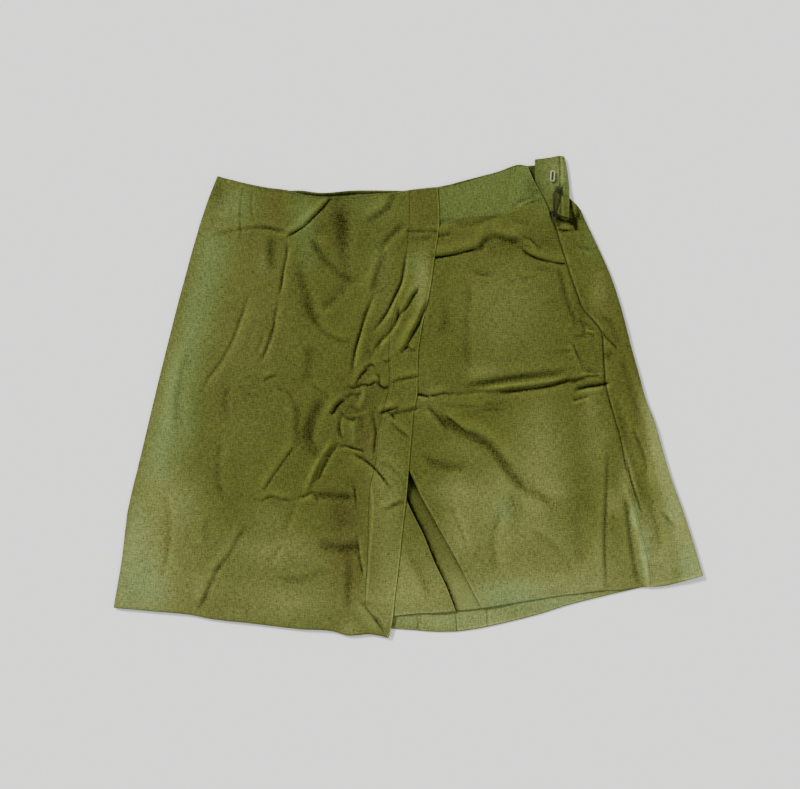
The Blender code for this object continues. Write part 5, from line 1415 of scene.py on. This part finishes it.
def beads(placed, way, height, length, radius, dip):
    """Rings of radius r sqrt(1 - t^4) along each axis, t from -1 to 1, whose ends dip by dip t^2."""
    angles = np.arange(RING) * 2 * np.pi / RING
    t = np.concatenate([[-1.0], np.repeat(SECTIONS, RING), [1.0]])
    girth = radius * np.sqrt(1 - t**4)
    turn = np.concatenate([[0.0], np.tile(angles, len(SECTIONS)), [0.0]])
    along_axis, sideways, lifted = t * length / 2, girth * np.cos(turn), girth * np.sin(turn) - dip * t**2
    normal = np.column_stack([-way[:, 1], way[:, 0]])
    plan = (placed[:, None] + way[:, None] * along_axis[None, :, None]
            + normal[:, None] * sideways[None, :, None])
    points = np.dstack([plan, height[:, None] + lifted[None, :]]).reshape(-1, 3)

    ring = 1 + np.arange(RING)
    after = 1 + (np.arange(RING) + 1) % RING
    first = np.stack([np.zeros(RING, int), after, ring], axis=1)
    last_ring = RING * (len(SECTIONS) - 1)
    last = np.stack([np.full(RING, 1 + RING * len(SECTIONS)), ring + last_ring, after + last_ring], axis=1)
    sides = np.concatenate([np.stack([ring, after, after + RING, ring + RING], axis=1) + RING * step
                            for step in range(len(SECTIONS) - 1)])
    offsets = (np.arange(len(placed)) * len(t))[:, None, None]
    triangles = (np.concatenate([first, last])[None] + offsets).reshape(-1, 3)
    quads = (sides[None] + offsets).reshape(-1, 4)
    return points, triangles.tolist() + quads.tolist()


def row_of_beads(name, material, rows):
    """One object out of several rows of (line, height of a point, pitch, length, radius, dip)."""
    points, faces, start = [], [], 0
    for line, height_at, pitch, length, radius, dip in rows:
        placed, way = stations(line, pitch)
        made, corners = beads(placed, way, height_at(placed[:, 0], placed[:, 1]), length, radius, dip)
        points.append(made)
        faces += [[corner + start for corner in face] for face in corners]
        start += len(made)
    mesh = bpy.data.meshes.new(name)
    mesh.from_pydata((np.concatenate(points) * MM).tolist(), [], faces)
    mesh.shade_smooth()
    mesh.materials.append(material)
    piece = put_in_scene(name, mesh)
    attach(piece, "garment")
    print(name, "has", start // (2 + RING * len(SECTIONS)), "of them")
    return piece


# %% Thread
def thread(name, colour, sheen=0.2):
    """Twisted thread: fine diagonal streaks and a little cloudiness."""
    material, tree, shader = new_material(name, colour, 0.7)
    place = node(tree, "ShaderNodeTexCoord").outputs["Object"]
    twisted = node(tree, "ShaderNodeMapping", Vector=place, Rotation=(0, 0, 0.6),
                   Scale=(5200.0, 1400.0, 1400.0))
    lighter = tuple(1.7 * part for part in colour)
    clouds = noise(tree, place, 120.0, 2.0)
    tree.links.new(mix(tree, clouds, (*colour, 1), (*lighter, 1)), shader.inputs["Base Color"])
    bumped(tree, shader, noise(tree, twisted.outputs[0], 1.0, 1.0), 0.5, 0.0001)
    shader.inputs["Sheen Weight"].default_value = sheen
    shader.inputs["Specular IOR Level"].default_value = 0.2
    return material


olive_thread = thread("olive_thread", (0.078, 0.088, 0.026))
coil_nylon = thread("coil_nylon", (0.008, 0.006, 0.003), sheen=0.0)
print("threads:", olive_thread.name, coil_nylon.name)

# %% Stitch rows
STITCH = (3.0, 2.3, 0.24, 0.16)     # pitch, length, radius, dip of the ends
UNDER_STITCH = (3.0, 2.3, 0.18, -0.1)
TOOTH = (0.75, 0.62, 0.55, 0.1)
HEM_DEPTH = 27.0


def inside_line(run, up, start=0.0, finish=1.0, across=0.0):
    """A stitch line that follows an edge at a distance, between two shares of its length."""
    return moved(along([run], np.linspace(start, finish, 60)), across=across, up=up)


def raised_by(height_at, lift):
    """The height of a layer's middle, and a lift that brings a stitch to its face."""
    return lambda across, up: height_at(across, up) + lift


on_wrap, on_front, on_return = [
    raised_by(height_at, CLOTH / 2 + 0.02) for height_at in (wrap_height, front_height, return_height)]
on_tail = raised_by(front_height, CLOTH / 2 - 0.08)
on_band = raised_by(wrap_height, BAND_ABOVE + BAND_SHOWN / 2 - 0.04)
below_back = raised_by(back_height, 0.06 - CLOTH / 2)

band_line = inside_line(BAND_SEAM, 0, 0.11, 0.995, across=2.6)
wrap_stitches = row_of_beads("skort_wrap_stitches", olive_thread, [
    (inside_line(WRAP_HEM, HEM_DEPTH, 0.02, 0.925), on_wrap, *STITCH)])
band_stitches = row_of_beads("skort_band_stitches", olive_thread, [
    (band_line, on_band, *STITCH),
    (spots((3.6, 171), (27.7, 172.7)), on_band, *STITCH),
    (spots((3.6, 165.6), (11.6, 165.6)), on_band, *STITCH)])
front_stitches = row_of_beads("skort_front_stitches", olive_thread, [
    (inside_line(FRONT_HEM_LEFT, 25.0, 0.0, 0.98, across=-10.0), on_front, *STITCH),
    (spots((8, -187), (27, -187.5), (35, -186)), on_front, *STITCH),
    (inside_line(FACING_SEAM, -0.8, 0.0, 0.72), on_front, *STITCH),
    (ZIP_TAIL, on_tail, *STITCH)])
row_of_beads("skort_return_stitches", olive_thread, [
    (spots((238, -168), (255, -166.5), (287, -158)), on_return, *STITCH)])
row_of_beads("skort_under_stitches", olive_thread, [
    (inside_line(BACK_HEM_RIGHT, HEM_DEPTH, 0.03, 0.97), below_back, *UNDER_STITCH),
    (inside_line(BACK_HEM_LEFT, HEM_DEPTH, 0.03, 0.93), below_back, *UNDER_STITCH),
    (inside_line(BACK_WAIST_RIGHT, -FACING_DEPTH, 0.05, 0.99), below_back, *UNDER_STITCH),
    (inside_line(BACK_WAIST_LEFT, -FACING_DEPTH, 0.01, 0.95), below_back, *UNDER_STITCH),
    (moved(along([CENTRE_SEAM], even(60)), across=1.8), below_back, *UNDER_STITCH),
    (moved(along([CENTRE_SEAM], even(60)), across=-1.8), below_back, *UNDER_STITCH)])
row_of_beads("skort_zip_teeth", coil_nylon, [
    (spots((145.6, 187.6), (145.4, 202.8), (147.2, 206.2)),
     lambda across, up: np.full_like(across, TAPE_MID + 0.3), *TOOTH)])

# %% [markdown]
# ## Cut sizes
# Each panel was cut flat. Its cut is printed with the area that the drawn outline holds.


# %% Printing the cuts
def lattice_area(piece):
    """Area of the panel without its wall, in square metres: half of |AC x BD|, summed over its quads."""
    mesh = piece.data
    corners = np.zeros(len(mesh.vertices) * 3)
    mesh.vertices.foreach_get("co", corners)
    corners = corners.reshape(-1, 3)
    quads = np.zeros(len(mesh.loops), int)
    mesh.loops.foreach_get("vertex_index", quads)
    a, b, c, d = np.moveaxis(corners[quads.reshape(-1, 4)], 1, 0)
    return 0.5 * np.linalg.norm(np.cross(c - a, d - b), axis=1).sum()


def cut(piece, wide, long):
    """Print one panel's cut by its width and length in metres, and its area."""
    area = lattice_area(piece)
    print(f"{piece.name}: cut {wide * 1000:.0f} x {long * 1000:.0f} mm, area {area * 1e4:.0f} cm2")


cut(back_right, 0.345, 0.445)
cut(back_left, 0.420, 0.475)
cut(inner_leg, 0.060, 0.165)
cut(facing, 0.335, 0.065)
cut(front_right, 0.340, 0.430)
cut(front_left, 0.260, 0.450)
cut(wrap, 0.300, 0.465)
cut(band, 0.045, 0.455)
cut(tab, 0.036, 0.062)

# %% [markdown]
# ## The floor, the light and the camera
# The garment was photographed from straight above on a pale ground. A large soft light from the upper left
# models the creases, and a pale world fills the shadows.

# %% Floor
FLOOR_WIDE = 3.0            # metres
FLOOR_BELOW = 0.0003        # just under the cloth, so that the two surfaces don't flicker
floor_mesh = bpy.data.meshes.new("pale_floor")
corners = [(x * FLOOR_WIDE / 2, y * FLOOR_WIDE / 2, -FLOOR_BELOW)
           for x, y in ((-1, -1), (1, -1), (1, 1), (-1, 1))]
floor_mesh.from_pydata(corners, [], [(0, 1, 2, 3)])
floor = put_in_scene("pale_floor", floor_mesh)
paper, tree, shader = new_material("pale_paper", (0.84, 0.84, 0.835), 0.95)
shader.inputs["Specular IOR Level"].default_value = 0.1
floor_mesh.materials.append(paper)
print("floor:", FLOOR_WIDE, "m square")

# %% Light
world = bpy.data.worlds.new("studio")
world.use_nodes = True
background = world.node_tree.nodes["Background"]
background.inputs["Color"].default_value = (0.97, 0.985, 1.0, 1)
background.inputs["Strength"].default_value = 0.8
bpy.context.scene.world = world


def soft_light(name, way, softness, strength, colour=(1, 1, 1)):
    """A distant light from a direction; softness is how wide it looks from the cloth, in degrees."""
    lamp = bpy.data.lights.new(name, "SUN")
    lamp.angle = np.radians(softness)
    lamp.energy = strength
    lamp.color = colour
    light = put_in_scene(name, lamp)
    light.location = way
    light.rotation_euler = (-light.location).to_track_quat("-Z", "Y").to_euler()
    print(name, "light:", strength, "strong,", softness, "degrees wide")


soft_light("key", (-1.1, 1.0, 0.95), 12.0, 5.6, (1.0, 0.985, 0.95))
soft_light("fill", (1.3, -0.5, 1.6), 60.0, 0.5, (0.95, 0.98, 1.0))

# %% Camera
LENS, SENSOR = 60.0, 36.0   # millimetres
SEEN_ACROSS = 0.8           # metres of floor from one side of the picture to the other
MIDDLE_SEEN = (-0.008, 0.0025)
ABOVE_FLOOR = 0.003         # mean height of the cloth
camera_data = bpy.data.cameras.new("above")
camera_data.lens = LENS
camera_data.sensor_width = SENSOR
camera = put_in_scene("above", camera_data)
camera.location = (*MIDDLE_SEEN, SEEN_ACROSS * LENS / SENSOR + ABOVE_FLOOR)
bpy.context.scene.camera = camera
print("camera stands", round(camera.location.z, 3), "m above the garment")
